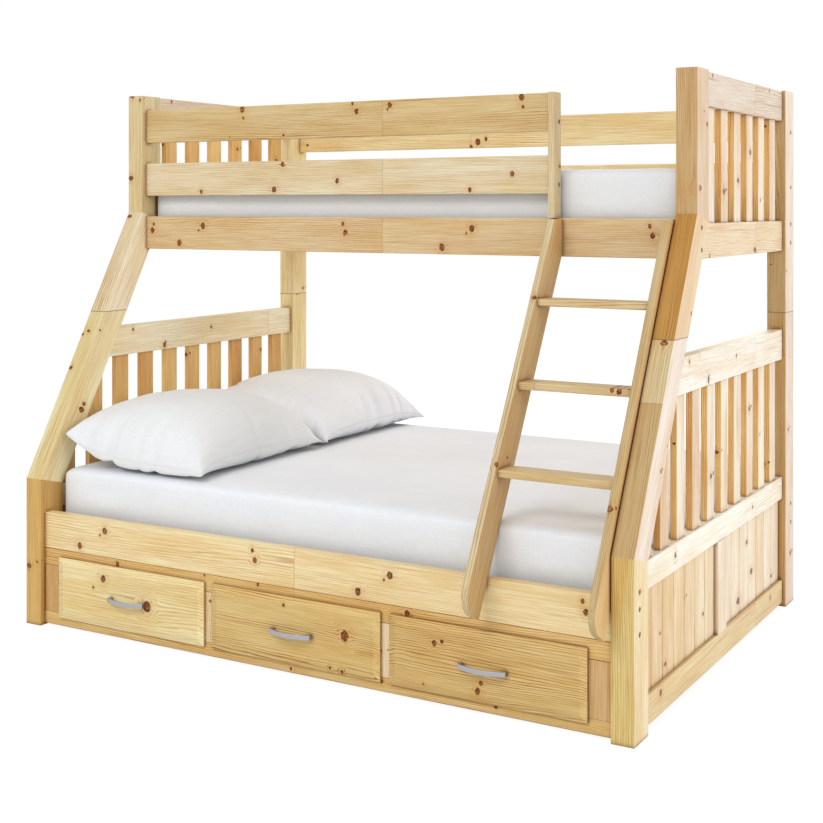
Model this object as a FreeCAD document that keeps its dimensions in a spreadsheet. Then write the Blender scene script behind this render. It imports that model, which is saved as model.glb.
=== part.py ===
import FreeCAD, Part
import math
import os
import Sketcher

from FreeCAD import Placement, Rotation, Vector

# Bunk bed for three: a narrow bunk over a wide one, with slanted front legs, a ladder and storage drawers.
# Millimetres. X runs along the bed, the front faces minus Y, Z is up and the floor is at zero.
# The origin is the middle of the whole footprint, ladder toes included.

SIZES = {
    # Whole bed, measured over the posts
    "bed_length": 2060,
    "bed_depth": 1494,
    "bed_height": 1720,
    # Posts and legs: the front legs stand upright, slant back between two knees and stand upright again
    "post_width": 63,
    "post_depth": 99,
    "knee_low": 465,
    "head_post_length": 406,
    "head_setback": 483,
    "edge_round": 3,
    "dowel_diameter": 12,
    "dowel_length": 70,
    "dowel_play": 0.2,
    # Side rails, guard rails and the guard post beside the entry
    "rail_thickness": 32,
    "rail_height": 113,
    "side_recess": 20,
    "lower_rail_base": 246,
    "upper_rail_drop": 420,
    "guard_gap": 71.5,
    "guard_post_width": 20,
    "entry_width": 369.5,
    # End frames
    "end_rail_thickness": 39,
    "end_rail_height": 100,
    "upper_end_opening": 334,
    "mid_rail_base": 359,
    "mid_rail_height": 73,
    "bottom_rail_base": 12,
    "bottom_rail_height": 76,
    "end_slat_width": 64,
    "end_slat_thickness": 20,
    "end_slat_pitch": 129.4,
    "panel_stile_width": 78,
    "panel_thickness": 12,
    "panel_joint": 1.2,
    "panel_chamfer": 3,
    # Bed bases
    "cleat_depth": 30,
    "cleat_height": 26,
    "upper_cleat_rise": 4,
    "bed_slat_width": 80,
    "bed_slat_thickness": 18,
    "bed_slat_end_gap": 22,
    "bed_slat_play": 2,
    "beam_depth": 60,
    "beam_height": 38,
    # Ladder
    "ladder_width": 369,
    "ladder_post_gap": 1.5,
    "ladder_top_depth": 60,
    "ladder_top_drop": 3,
    "ladder_seat": 5.7,
    "ladder_tip_height": 262,
    "ladder_toe_radius": 65,
    "ladder_stile_width": 99,
    "ladder_stile_thickness": 20,
    "rung_depth": 80,
    "rung_thickness": 20.5,
    "rung_inset": 10,
    "rung_pitch": 220,
    "top_rung_drop": 223,
    # Drawer face frame and the carcass behind it
    "frame_thickness": 20,
    "frame_base": 5,
    "frame_bottom_rail": 41,
    "frame_top_rail": 52,
    "frame_stile_width": 60,
    "frame_end_stile_width": 82,
    "partition_thickness": 19,
    "back_board_thickness": 20,
    "runner_height": 12,
    "runner_grip": 6.5,
    "runner_end_gap": 8,
    "runner_clearance": 0.3,
    # Drawers
    "front_side_lap": 15,
    "front_top_lap": 29,
    "front_base_lap": 13,
    "front_proud": 12,
    "front_bevel_width": 20,
    "front_bevel_depth": 4,
    "front_tongue": 8,
    "front_tongue_play": 3,
    "box_play": 6,
    "box_lift": 8,
    "box_headroom": 10,
    "box_back_room": 109,
    "box_wall": 14,
    "box_bottom": 8,
    "groove_side_play": 0.5,
    "groove_play": 1,
    # Handles
    "handle_length": 140,
    "handle_projection": 32,
    "handle_end_projection": 16,
    "handle_bar": 5,
    "handle_foot": 9,
    "handle_height": 13,
    "handle_drop": 4,
    "handle_round": 1.2,
    # Bolts, sunk in the posts, and the barrel nuts in the rail ends
    "bolt_spacing": 62.6,
    "guard_bolt_rise": 27,
    "bolt_head_diameter": 13,
    "bolt_head_height": 4,
    "bolt_head_play": 0.75,
    "bolt_sink": 5,
    "bolt_shank": 6,
    "bolt_bore_play": 0.5,
    "bolt_overrun": 8,
    "nut_setback": 40,
    "nut_diameter": 10,
    "nut_length": 16,
    "nut_play": 0.2,
    "ladder_bolt_grip": 34,
    # Mattresses and pillows
    "mattress_end_gap": 11,
    "mattress_side_gap": 6,
    "mattress_ladder_gap": 0.8,
    "lower_mattress_height": 210,
    "upper_mattress_height": 215,
    "mattress_corner": 44,
    "mattress_edge": 45,
    "mattress_crown": 8,
    "soft_clearance": 0.3,
    "pillow_length": 690,
    "pillow_width": 575,
    "pillow_gap": 4,
    "pillow_setback": 31,
    "pillow_head_gap": 34,
    "pillow_upper_bulge": 150,
    "pillow_lower_bulge": 90,
    "pillow_foot_lift": 12,
    "pillow_head_lift": 100,
}

PANEL_BOARDS = 7
UPPER_BED_SLATS = 13
LOWER_BED_SLATS = 14
RUNGS = 3

# Where the slanted legs are halved, and where the lower end's top rail stands between its neighbours
LEG_SEAM_SHARE = 0.6066
LOWER_END_TOP_SHARE = 0.52

# How much of a mattress, from its rounded edge to its middle, its crown rises over
CROWN_SHARE = 0.8

# A pillow's sections from its seam outwards: share of the bulge, share of the plan, outward bow of each side
PILLOW_SECTION_SHARES = (
    (0.00, 1.00, -0.045),
    (0.22, 0.95, -0.020),
    (0.46, 0.85, 0.020),
    (0.68, 0.70, 0.055),
    (0.86, 0.50, 0.085),
    (0.97, 0.26, 0.110),
    (1.00, 0.10, 0.120),
)
ROUND_STEPS = 4
TOLERANCE = 1e-4

doc = FreeCAD.newDocument("BunkBed")
sheet = doc.addObject("Spreadsheet::Sheet", "Sizes")
for row, (alias, number) in enumerate(SIZES.items(), 1):
    sheet.set(f"A{row}", alias)
    sheet.set(f"B{row}", str(number))
    sheet.setAlias(f"B{row}", alias)
doc.recompute()


class Size:
    """A length that knows its formula in the sheet's aliases as well as its value."""

    def __init__(self, formula, value):
        self.formula = formula
        self.value = value

    @staticmethod
    def of(number):
        return number if isinstance(number, Size) else Size(str(number), number)

    def __add__(self, other):
        other = Size.of(other)
        return Size(f"({self.formula} + {other.formula})", self.value + other.value)

    def __sub__(self, other):
        other = Size.of(other)
        return Size(f"({self.formula} - {other.formula})", self.value - other.value)

    def __mul__(self, other):
        other = Size.of(other)
        return Size(f"({self.formula} * {other.formula})", self.value * other.value)

    def __truediv__(self, other):
        other = Size.of(other)
        return Size(f"({self.formula} / {other.formula})", self.value / other.value)

    def __radd__(self, other):
        return Size.of(other) + self

    def __rsub__(self, other):
        return Size.of(other) - self

    def __rmul__(self, other):
        return Size.of(other) * self

    def __neg__(self):
        return Size(f"(0 - {self.formula})", -self.value)

    def root(self):
        return Size(f"sqrt({self.formula})", math.sqrt(self.value))


class Sheet:
    """The sheet's driving sizes, each as an attribute of its own."""

    def __init__(self):
        for name in SIZES:
            setattr(self, name, Size(f"Sizes.{name}", float(sheet.get(name))))


s = Sheet()
nodes = []
AXES = ("x", "y", "z")
TURN_TO = {
    "x": Rotation(Vector(0, 1, 0), 90),
    "y": Rotation(Vector(1, 0, 0), -90),
    "z": Rotation(),
}
SIDES = (("left", -1), ("right", 1))
DRAWERS = (("left", -1), ("middle", 0), ("right", 1))

# Shared places
half_length = s.bed_length / 2
inner_x = half_length - s.post_width
rail_length = 2 * inner_x
knee_high = s.bed_height - s.head_post_length
lean = s.head_setback / (knee_high - s.knee_low)
slant = (1 + lean * lean).root()
leg_run = s.post_depth * slant
mitre_drop = s.post_depth * (slant - 1) / lean
seam_height = s.knee_low + LEG_SEAM_SHARE * (knee_high - s.knee_low)
lower_rail_top = s.lower_rail_base + s.rail_height
upper_rail_top = s.bed_height - s.upper_rail_drop
upper_rail_base = upper_rail_top - s.rail_height

# Ladder side view, measured back from the front face of the feet: its back edge starts on the lower rail's
# top corner, and its front edge ends a given depth in front of the upper rail
ladder_top = upper_rail_top - s.ladder_top_drop
ladder_seat_height = lower_rail_top - s.ladder_seat
ladder_rise = ladder_top - ladder_seat_height
ladder_advance = s.head_setback - s.ladder_top_depth
ladder_square = s.ladder_stile_width * s.ladder_stile_width
ladder_chord = (ladder_rise * ladder_rise + ladder_advance * ladder_advance - ladder_square).root()
ladder_lean = (ladder_rise * ladder_advance + s.ladder_stile_width * ladder_chord) / (
    ladder_rise * ladder_rise - ladder_square)
ladder_slant = (1 + ladder_lean * ladder_lean).root()
ladder_run = s.ladder_stile_width * ladder_slant
ladder_tip = s.side_recess - ladder_lean * (ladder_seat_height - s.ladder_tip_height)
ladder_toe = ladder_tip - s.ladder_stile_width / ladder_slant
ladder_reach = -(ladder_toe + s.ladder_toe_radius * ((ladder_lean + 1) / ladder_slant - 1))

front = (ladder_reach - s.bed_depth) / 2
back = front + s.bed_depth
middle_y = front + s.bed_depth / 2
back_post_front = back - s.post_depth
foot_back = front + s.post_depth
head_front = front + s.head_setback
head_back = head_front + s.post_depth

front_rail_plane = front + s.side_recess
upper_rail_plane = head_front + s.side_recess
back_rail_plane = back - s.side_recess - s.rail_thickness
front_rail_inner = front_rail_plane + s.rail_thickness
upper_rail_inner = upper_rail_plane + s.rail_thickness

guard_low_base = upper_rail_top + s.guard_gap
guard_high_base = guard_low_base + s.rail_height + s.guard_gap
guard_high_top = guard_high_base + s.rail_height
guard_post_right = inner_x - s.entry_width
guard_post_left = guard_post_right - s.guard_post_width

end_rail_near = half_length - (s.post_width + s.end_rail_thickness) / 2
end_slat_near = half_length - (s.post_width + s.end_slat_thickness) / 2
panel_near = half_length - (s.post_width + s.panel_thickness) / 2
mid_rail_top = s.mid_rail_base + s.mid_rail_height
upper_end_rail_base = s.bed_height - s.end_rail_height - s.upper_end_opening - s.end_rail_height
lower_end_rail_base = mid_rail_top + LOWER_END_TOP_SHARE * (upper_end_rail_base - mid_rail_top)
bottom_rail_top = s.bottom_rail_base + s.bottom_rail_height


def bind(thing, prop, size):
    size = Size.of(size)
    thing.setExpression(prop, size.formula)


def place(thing, corner, turn=None):
    thing.Placement = Placement(Vector(), turn or Rotation())
    for axis, size in zip(AXES, corner):
        bind(thing, f"Placement.Base.{axis}", size)


def node(thing, label):
    thing.Label = label
    nodes.append(thing)
    return thing


def lines_along(shape, direction):
    found = []
    for number, edge in enumerate(shape.Edges, 1):
        straight = isinstance(edge.Curve, Part.Line)
        if straight and edge.Curve.Direction.cross(direction).Length < TOLERANCE:
            found.append(number)
    return found


def plain_board(name, corner, extent):
    box = doc.addObject("Part::Box", name)
    for prop, size in zip(("Length", "Width", "Height"), extent):
        bind(box, prop, size)
    place(box, corner)
    box.recompute()
    return box


def board(name, corner, extent, dressing="Part::Fillet", ease=s.edge_round):
    """A board with its four long edges eased."""
    box = plain_board(name + "_blank", corner, extent)
    lengths = [Size.of(size).value for size in extent]
    along = Vector(*(1.0 if length == max(lengths) else 0.0 for length in lengths))
    dressed = doc.addObject(dressing, name)
    dressed.Base = box
    dressed.Edges = [(number, ease.value, ease.value) for number in lines_along(box.Shape, along)]
    return dressed


def rod(name, end, axis, diameter, length):
    cylinder = doc.addObject("Part::Cylinder", name)
    bind(cylinder, "Radius", diameter / 2)
    bind(cylinder, "Height", length)
    place(cylinder, end, TURN_TO[axis])
    return cylinder


def group(name, members):
    compound = doc.addObject("Part::Compound", name)
    compound.Links = members
    return compound


def fused(name, members):
    joined = doc.addObject("Part::MultiFuse", name)
    joined.Shapes = members
    return joined


def cut(name, base, tool):
    result = doc.addObject("Part::Cut", name)
    result.Base = base
    result.Tool = tool
    return result


def origin_plane(body, role):
    return next(feature for feature in body.Origin.OriginFeatures if feature.Role == role)


def new_sketch(body, name, role):
    sketch = body.newObject("Sketcher::SketchObject", name)
    sketch.AttachmentSupport = [(origin_plane(body, role), "")]
    sketch.MapMode = "FlatFace"
    return sketch


def pin_point(sketch, geometry, end, across, up):
    for kind, size in (("DistanceX", across), ("DistanceY", up)):
        size = Size.of(size)
        number = sketch.addConstraint(Sketcher.Constraint(kind, -1, 1, geometry, end, size.value))
        sketch.setExpression(f"Constraints[{number}]", size.formula)


def pad_sketch(body, name, sketch, length):
    pad = body.newObject("PartDesign::Pad", name)
    pad.Profile = sketch
    bind(pad, "Length", length)
    body.Tip = pad
    doc.recompute()
    return pad


def round_edges(body, name, numbers, radius):
    base = body.Tip
    fillet = body.newObject("PartDesign::Fillet", name)
    fillet.Base = (base, [f"Edge{number}" for number in numbers])
    bind(fillet, "Radius", radius)
    body.Tip = fillet
    doc.recompute()


def side_profile(name, points, start_x, thickness):
    """A board sawn to a side outline: points are (y, z), and the thickness runs along X from start_x."""
    body = doc.addObject("PartDesign::Body", name)
    sketch = new_sketch(body, name + "_outline", "YZ_Plane")
    count = len(points)
    for index in range(count):
        (y, z), (next_y, next_z) = points[index], points[(index + 1) % count]
        start = Vector(Size.of(y).value, Size.of(z).value, 0)
        end = Vector(Size.of(next_y).value, Size.of(next_z).value, 0)
        sketch.addGeometry(Part.LineSegment(start, end))
    for index in range(count):
        sketch.addConstraint(Sketcher.Constraint("Coincident", index, 2, (index + 1) % count, 1))
    for index, (y, z) in enumerate(points):
        pin_point(sketch, index, 1, y, z)
    pad_sketch(body, name + "_pad", sketch, thickness)
    place(body, (start_x, 0, 0))
    return body


def low_x(side, near, thickness):
    """The lower X of a piece that starts near the middle of the bed on the given side."""
    return near if side > 0 else -(near + thickness)


# Bolts through the posts into barrel nuts, for every rail end
def bolt_parts(name, side, seat, wall, y, z):
    """A bolt along X with its bore: seat is the outer face, wall the post's thickness."""
    floor = seat - s.bolt_sink
    shank_length = wall - s.bolt_sink + s.nut_setback + s.bolt_overrun
    head = rod(name + "_head", (low_x(side, floor, s.bolt_head_height), y, z), "x",
               s.bolt_head_diameter, s.bolt_head_height)
    shank = rod(name + "_shank", (low_x(side, floor - shank_length, shank_length), y, z), "x",
                s.bolt_shank, shank_length)
    sink = rod(name + "_sink", (low_x(side, floor, s.bolt_sink), y, z), "x",
               s.bolt_head_diameter + 2 * s.bolt_head_play, s.bolt_sink)
    bore_length = shank_length + s.bolt_overrun
    bore = rod(name + "_bore", (low_x(side, floor - bore_length, bore_length), y, z), "x",
               s.bolt_shank + 2 * s.bolt_bore_play, bore_length)
    return fused(name, [head, shank]), fused(name + "_hole", [sink, bore])


def nut_parts(name, side, seat, wall, rail_face, into, z):
    """A barrel nut set into the rail from its hidden face; into is the way into the rail along Y."""
    x = side * (seat - wall - s.nut_setback)
    depth = (s.rail_thickness + s.nut_length) / 2
    nut_end = rail_face + (s.rail_thickness - s.nut_length) / 2 * into
    hole = rod(name + "_hole", (x, rail_face if into > 0 else rail_face - depth, z), "y",
               s.nut_diameter + 2 * s.nut_play, depth)
    nut = rod(name, (x, nut_end if into > 0 else nut_end - s.nut_length, z), "y",
              s.nut_diameter, s.nut_length)
    return nut, hole


bolts = []
nuts = []
fastener_holes = []
nut_holes = []


def fasten(name, side, seat, wall, rail_plane, hidden_behind, z):
    """One bolt, its bore and its nut, in the rail whose front plane is given."""
    y = rail_plane + s.rail_thickness / 2
    bolt, hole = bolt_parts("bolt_" + name, side, seat, wall, y, z)
    face = rail_plane + s.rail_thickness if hidden_behind else rail_plane
    nut, nut_hole = nut_parts("nut_" + name, side, seat, wall, face, -1 if hidden_behind else 1, z)
    bolts.append(bolt)
    nuts.append(nut)
    fastener_holes.append(hole)
    nut_holes.append(nut_hole)


for side_name, side in SIDES:
    for rail_name, plane, base, behind in (
        ("lower_front", front_rail_plane, s.lower_rail_base, True),
        ("lower_back", back_rail_plane, s.lower_rail_base, False),
        ("upper_front", upper_rail_plane, upper_rail_base, True),
        ("upper_back", back_rail_plane, upper_rail_base, False),
    ):
        for level_name, step in (("low", -1), ("high", 1)):
            level = base + s.rail_height / 2 + step * s.bolt_spacing / 2
            name = f"{rail_name}_{side_name}_{level_name}"
            fasten(name, side, half_length, s.post_width, plane, behind, level)
    for guard_name, base in (("low", guard_low_base), ("high", guard_high_base)):
        level = base + s.guard_bolt_rise
        name = f"guard_back_{guard_name}_{side_name}"
        fasten(name, side, half_length, s.post_width, back_rail_plane, False, level)
for guard_name, base in (("low", guard_low_base), ("high", guard_high_base)):
    level = base + s.guard_bolt_rise
    name = f"guard_front_{guard_name}"
    fasten(name + "_left", -1, half_length, s.post_width, upper_rail_plane, True, level)
    fasten(name + "_right", 1, guard_post_right, s.guard_post_width, upper_rail_plane, True, level)

# Ladder bolts, through the upper rail into the stiles
ladder_right = inner_x - s.ladder_post_gap
ladder_left = ladder_right - s.ladder_width
stile_places = (("left", ladder_left), ("right", ladder_right - s.ladder_stile_thickness))
for stile_name, stile_x in stile_places:
    for level_name, step in (("low", -1), ("high", 1)):
        x = stile_x + s.ladder_stile_thickness / 2
        z = upper_rail_base + s.rail_height / 2 + step * s.bolt_spacing / 4
        floor = upper_rail_inner - s.bolt_sink
        start = upper_rail_plane - s.ladder_bolt_grip
        name = f"bolt_ladder_{stile_name}_{level_name}"
        head = rod(name + "_head", (x, floor, z), "y", s.bolt_head_diameter, s.bolt_head_height)
        shank = rod(name + "_shank", (x, start, z), "y", s.bolt_shank, floor - start)
        sink = rod(name + "_sink", (x, floor, z), "y",
                   s.bolt_head_diameter + 2 * s.bolt_head_play, s.bolt_sink)
        bore = rod(name + "_bore", (x, start - s.bolt_overrun, z), "y", s.bolt_shank + 2 * s.bolt_bore_play,
                   floor - start + s.bolt_overrun)
        bolts.append(fused(name, [head, shank]))
        fastener_holes.append(fused(name + "_hole", [sink, bore]))

# Dowels: one on each post seam, and one under the guard post
seam_front = front + lean * (seam_height - s.knee_low)
post_centre = half_length - s.post_width / 2
guard_post_centre = (guard_post_left + guard_post_right) / 2
dowel_places = [("guard_post", guard_post_centre, upper_rail_plane + s.rail_thickness / 2, upper_rail_top)]
for side_name, side in SIDES:
    dowel_places.append((f"back_{side_name}", side * post_centre, back - s.post_depth / 2, seam_height))
    dowel_places.append((f"front_{side_name}", side * post_centre, seam_front + leg_run / 2, seam_height))
dowels = []
for dowel_name, x, y, z in dowel_places:
    end = (x, y, z - s.dowel_length / 2)
    dowels.append(rod(f"dowel_{dowel_name}", end, "z", s.dowel_diameter, s.dowel_length))
    fastener_holes.append(
        rod(f"dowel_{dowel_name}_hole", end, "z", s.dowel_diameter + 2 * s.dowel_play, s.dowel_length))

fastener_bores = group("fastener_bores", fastener_holes)
nut_bores = group("nut_bores", nut_holes)
node(group("frame_bolts_set", bolts), "frame_bolts")
node(group("post_dowels_set", dowels), "post_dowels")
node(cut("barrel_nuts_set", group("barrel_nuts_blank", nuts), fastener_bores), "barrel_nuts")


def bored(name, blank):
    return node(cut(name + "_bored", blank, fastener_bores), name)


def bored_rail(name, blank):
    return node(cut(name + "_bored", cut(name + "_holes", blank, fastener_bores), nut_bores), name)


# Back posts and front legs
low_back = s.knee_low - mitre_drop
high_back = knee_high - mitre_drop
UPRIGHT = Vector(0, 0, 1)
slanting = Vector(0, lean.value, 1)
for side_name, side in SIDES:
    post_x = low_x(side, inner_x, s.post_width)
    bored(f"back_post_lower_{side_name}", board(
        f"back_post_lower_{side_name}_board", (post_x, back_post_front, 0),
        (s.post_width, s.post_depth, seam_height)))
    bored(f"back_post_upper_{side_name}", board(
        f"back_post_upper_{side_name}_board", (post_x, back_post_front, seam_height),
        (s.post_width, s.post_depth, s.bed_height - seam_height)))
    leg_pieces = (
        ("front_foot", UPRIGHT, (
            (front, 0), (foot_back, 0), (foot_back, low_back), (front, s.knee_low))),
        ("front_leg_lower", slanting, (
            (front, s.knee_low), (foot_back, low_back), (seam_front + leg_run, seam_height),
            (seam_front, seam_height))),
        ("front_leg_upper", slanting, (
            (seam_front, seam_height), (seam_front + leg_run, seam_height), (head_back, high_back),
            (head_front, knee_high))),
        ("front_head_post", UPRIGHT, (
            (head_front, knee_high), (head_back, high_back), (head_back, s.bed_height),
            (head_front, s.bed_height))),
    )
    for piece, along, outline in leg_pieces:
        body = side_profile(f"{piece}_{side_name}_body", outline, post_x, s.post_width)
        numbers = lines_along(body.Tip.Shape, along)
        round_edges(body, f"{piece}_{side_name}_round", numbers, s.edge_round)
        bored(f"{piece}_{side_name}", body)

# The space in front of the legs' back faces, from the low knee up, which trims what meets them
leg_space = side_profile("leg_space", (
    (front, low_back), (foot_back, low_back), (head_back, high_back), (head_back, s.bed_height),
    (front, s.bed_height)), -half_length, s.bed_length)

# Side rails and guard rails
rail_section = (s.rail_thickness, s.rail_height)
for rail_name, plane, base in (
    ("lower_front_rail", front_rail_plane, s.lower_rail_base),
    ("lower_back_rail", back_rail_plane, s.lower_rail_base),
    ("upper_front_rail", upper_rail_plane, upper_rail_base),
    ("upper_back_rail", back_rail_plane, upper_rail_base),
):
    bored_rail(rail_name, board(rail_name + "_board", (-inner_x, plane, base), (rail_length,) + rail_section))
for guard_name, base in (("guard_front_lower", guard_low_base), ("guard_front_upper", guard_high_base)):
    bored_rail(guard_name, board(
        guard_name + "_board", (-inner_x, upper_rail_plane, base),
        (inner_x + guard_post_left,) + rail_section))
bored_rail("guard_back_rails", group("guard_back_boards", [
    board(f"guard_back_{name}", (-inner_x, back_rail_plane, base), (rail_length,) + rail_section)
    for name, base in (("lower", guard_low_base), ("upper", guard_high_base))]))
bored("guard_post", board(
    "guard_post_board", (guard_post_left, head_front, upper_rail_top),
    (s.guard_post_width, s.side_recess + s.rail_thickness, guard_high_top - upper_rail_top)))


# End frames
def end_rails(name, start, base, height, trimmed=False):
    rails = [
        board(f"{name}_{side_name}", (low_x(side, end_rail_near, s.end_rail_thickness), start, base),
              (s.end_rail_thickness, back_post_front - start, height))
        for side_name, side in SIDES]
    pair = group(name + "_pair", rails)
    return node(cut(name + "_trimmed", pair, leg_space) if trimmed else pair, name)


end_rails("upper_end_top_rails", head_back, s.bed_height - s.end_rail_height, s.end_rail_height)
end_rails("upper_end_bottom_rails", foot_back, upper_end_rail_base, s.end_rail_height, trimmed=True)
end_rails("lower_end_top_rails", foot_back, lower_end_rail_base, s.end_rail_height, trimmed=True)
end_rails("end_mid_rails", foot_back, s.mid_rail_base, s.mid_rail_height, trimmed=True)
end_rails("end_bottom_rails", foot_back, s.bottom_rail_base, s.bottom_rail_height)


def slats_between(start, end):
    """How many end slats stand between two places."""
    return 1 + int((end - start - s.end_slat_width).value / s.end_slat_pitch.value)


upper_slat_count = slats_between(head_back, back_post_front)
upper_slat_row = (upper_slat_count - 1) * s.end_slat_pitch + s.end_slat_width
slat_margin = (back_post_front - head_back - upper_slat_row) / 2
first_slat = back_post_front - slat_margin - s.end_slat_width
lower_slat_count = slats_between(foot_back, back_post_front - slat_margin)


def end_slats(name, count, base, top):
    slats = []
    for side_name, side in SIDES:
        x = low_x(side, end_slat_near, s.end_slat_thickness)
        for index in range(count):
            slats.append(board(
                f"{name}_{side_name}_{index + 1}", (x, first_slat - index * s.end_slat_pitch, base),
                (s.end_slat_thickness, s.end_slat_width, top - base)))
    return group(name + "_set", slats)


node(end_slats("upper_end_slats", upper_slat_count, upper_end_rail_base + s.end_rail_height,
               s.bed_height - s.end_rail_height), "upper_end_slats")
node(cut("lower_end_slats_trimmed",
         end_slats("lower_end_slats", lower_slat_count, mid_rail_top, lower_end_rail_base), leg_space),
     "lower_end_slats")

panel_height = s.mid_rail_base - bottom_rail_top
stile_front = middle_y - s.panel_stile_width / 2
node(group("end_panel_stiles_set", [
    board(f"end_panel_stile_{side_name}",
          (low_x(side, end_rail_near, s.end_rail_thickness), stile_front, bottom_rail_top),
          (s.end_rail_thickness, s.panel_stile_width, panel_height))
    for side_name, side in SIDES]), "end_panel_stiles")

panel_pitch = (stile_front - foot_back) / PANEL_BOARDS
panel_boards = []
for side_name, side in SIDES:
    for bay_name, start in (("front", foot_back), ("back", stile_front + s.panel_stile_width)):
        for index in range(PANEL_BOARDS):
            y = start + index * panel_pitch + s.panel_joint / 2
            panel_boards.append(board(
                f"panel_board_{side_name}_{bay_name}_{index + 1}",
                (low_x(side, panel_near, s.panel_thickness), y, bottom_rail_top),
                (s.panel_thickness, panel_pitch - s.panel_joint, panel_height),
                "Part::Chamfer", s.panel_chamfer))
node(group("end_panel_boards_set", panel_boards), "end_panel_boards")

# Bed bases: cleats along the rails, slats across them, and a centre beam under the wide bed
lower_slat_base = s.lower_rail_base + s.cleat_height
lower_slat_top = lower_slat_base + s.bed_slat_thickness
upper_slat_base = upper_rail_base + s.upper_cleat_rise + s.cleat_height
upper_slat_top = upper_slat_base + s.bed_slat_thickness
cleats = []
for name, y, top in (
    ("lower_front", front_rail_inner, lower_slat_base),
    ("lower_back", back_rail_plane - s.cleat_depth, lower_slat_base),
    ("upper_front", upper_rail_inner, upper_slat_base),
    ("upper_back", back_rail_plane - s.cleat_depth, upper_slat_base),
):
    cleats.append(board(f"cleat_{name}", (-inner_x, y, top - s.cleat_height),
                        (rail_length, s.cleat_depth, s.cleat_height)))
node(group("slat_cleats_set", cleats), "slat_cleats")


def bed_slats(name, count, start, base):
    first = -inner_x + s.bed_slat_end_gap
    pitch = (rail_length - 2 * s.bed_slat_end_gap - s.bed_slat_width) / (count - 1)
    y = start + s.bed_slat_play
    span = back_rail_plane - s.bed_slat_play - y
    return node(group(name + "_set", [
        board(f"{name}_{index + 1}", (first + index * pitch, y, base),
              (s.bed_slat_width, span, s.bed_slat_thickness))
        for index in range(count)]), name)


bed_slats("lower_bed_slats", LOWER_BED_SLATS, front_rail_inner, lower_slat_base)
bed_slats("upper_bed_slats", UPPER_BED_SLATS, upper_rail_inner, upper_slat_base)
beam_base = lower_slat_base - s.beam_height
node(board("centre_beam_board", (-end_rail_near, middle_y - s.beam_depth / 2, beam_base),
           (2 * end_rail_near, s.beam_depth, s.beam_height)), "centre_beam")

# Ladder: slanted stiles, notched over the lower rail and flat on the upper one, with rungs between them
tip_y = front + ladder_tip
toe_y = front + ladder_toe
toe_z = s.ladder_tip_height + s.ladder_stile_width * ladder_lean / ladder_slant


def ladder_rear(z):
    """Where the stiles' back edge is at a height."""
    return tip_y + (z - s.ladder_tip_height) * ladder_lean


stile_outline = (
    (upper_rail_plane, ladder_top),
    (upper_rail_plane - s.ladder_top_depth, ladder_top),
    (toe_y, toe_z),
    (tip_y, s.ladder_tip_height),
    (front_rail_plane, ladder_seat_height),
    (front_rail_plane, lower_rail_top),
    (ladder_rear(lower_rail_top), lower_rail_top),
    (upper_rail_plane, ladder_seat_height + (upper_rail_plane - front_rail_plane) / ladder_lean),
)
for stile_name, stile_x in stile_places:
    name = f"ladder_stile_{stile_name}"
    body = side_profile(name + "_body", stile_outline, stile_x, s.ladder_stile_thickness)
    across = lines_along(body.Tip.Shape, Vector(1, 0, 0))
    toe_edge = min(across, key=lambda number: body.Tip.Shape.Edges[number - 1].BoundBox.YMin)
    round_edges(body, name + "_toe", [toe_edge], s.ladder_toe_radius)
    long_edges = lines_along(body.Tip.Shape, Vector(0, ladder_lean.value, 1))
    foremost = min(body.Tip.Shape.Edges[number - 1].BoundBox.YMin for number in long_edges)
    front_edges = [
        number for number in long_edges
        if body.Tip.Shape.Edges[number - 1].BoundBox.YMin - foremost < TOLERANCE]
    round_edges(body, name + "_round", front_edges, s.edge_round)
    bored(name, body)

rungs = []
rung_x = ladder_left + s.ladder_stile_thickness
for index in range(RUNGS):
    top = ladder_top - s.top_rung_drop - index * s.rung_pitch
    y = ladder_rear(top) - ladder_run + s.rung_inset
    rungs.append(board(
        f"ladder_rung_{index + 1}", (rung_x, y, top - s.rung_thickness),
        (s.ladder_width - 2 * s.ladder_stile_thickness, s.rung_depth, s.rung_thickness)))
node(group("ladder_rungs_set", rungs), "ladder_rungs")

# Drawer face frame
frame_plane = front_rail_plane
frame_inner = frame_plane + s.frame_thickness
opening_base = s.frame_base + s.frame_bottom_rail
opening_top = s.lower_rail_base - s.frame_top_rail
opening_height = opening_top - opening_base
drawer_pitch = (rail_length - 2 * s.frame_end_stile_width + s.frame_stile_width) / len(DRAWERS)
opening_width = drawer_pitch - s.frame_stile_width
node(board("drawer_top_rail_board", (-inner_x, frame_plane, opening_top),
           (rail_length, s.frame_thickness, s.frame_top_rail)), "drawer_top_rail")
node(board("drawer_bottom_rail_board", (-inner_x, frame_plane, s.frame_base),
           (rail_length, s.frame_thickness, s.frame_bottom_rail)), "drawer_bottom_rail")
stiles = []
for side_name, side in SIDES:
    for name, near, width in (
        ("end", inner_x - s.frame_end_stile_width, s.frame_end_stile_width),
        ("middle", opening_width / 2, s.frame_stile_width),
    ):
        stiles.append(board(f"drawer_stile_{name}_{side_name}",
                            (low_x(side, near, width), frame_plane, opening_base),
                            (width, s.frame_thickness, opening_height)))
node(group("drawer_stiles_set", stiles), "drawer_stiles")

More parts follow.
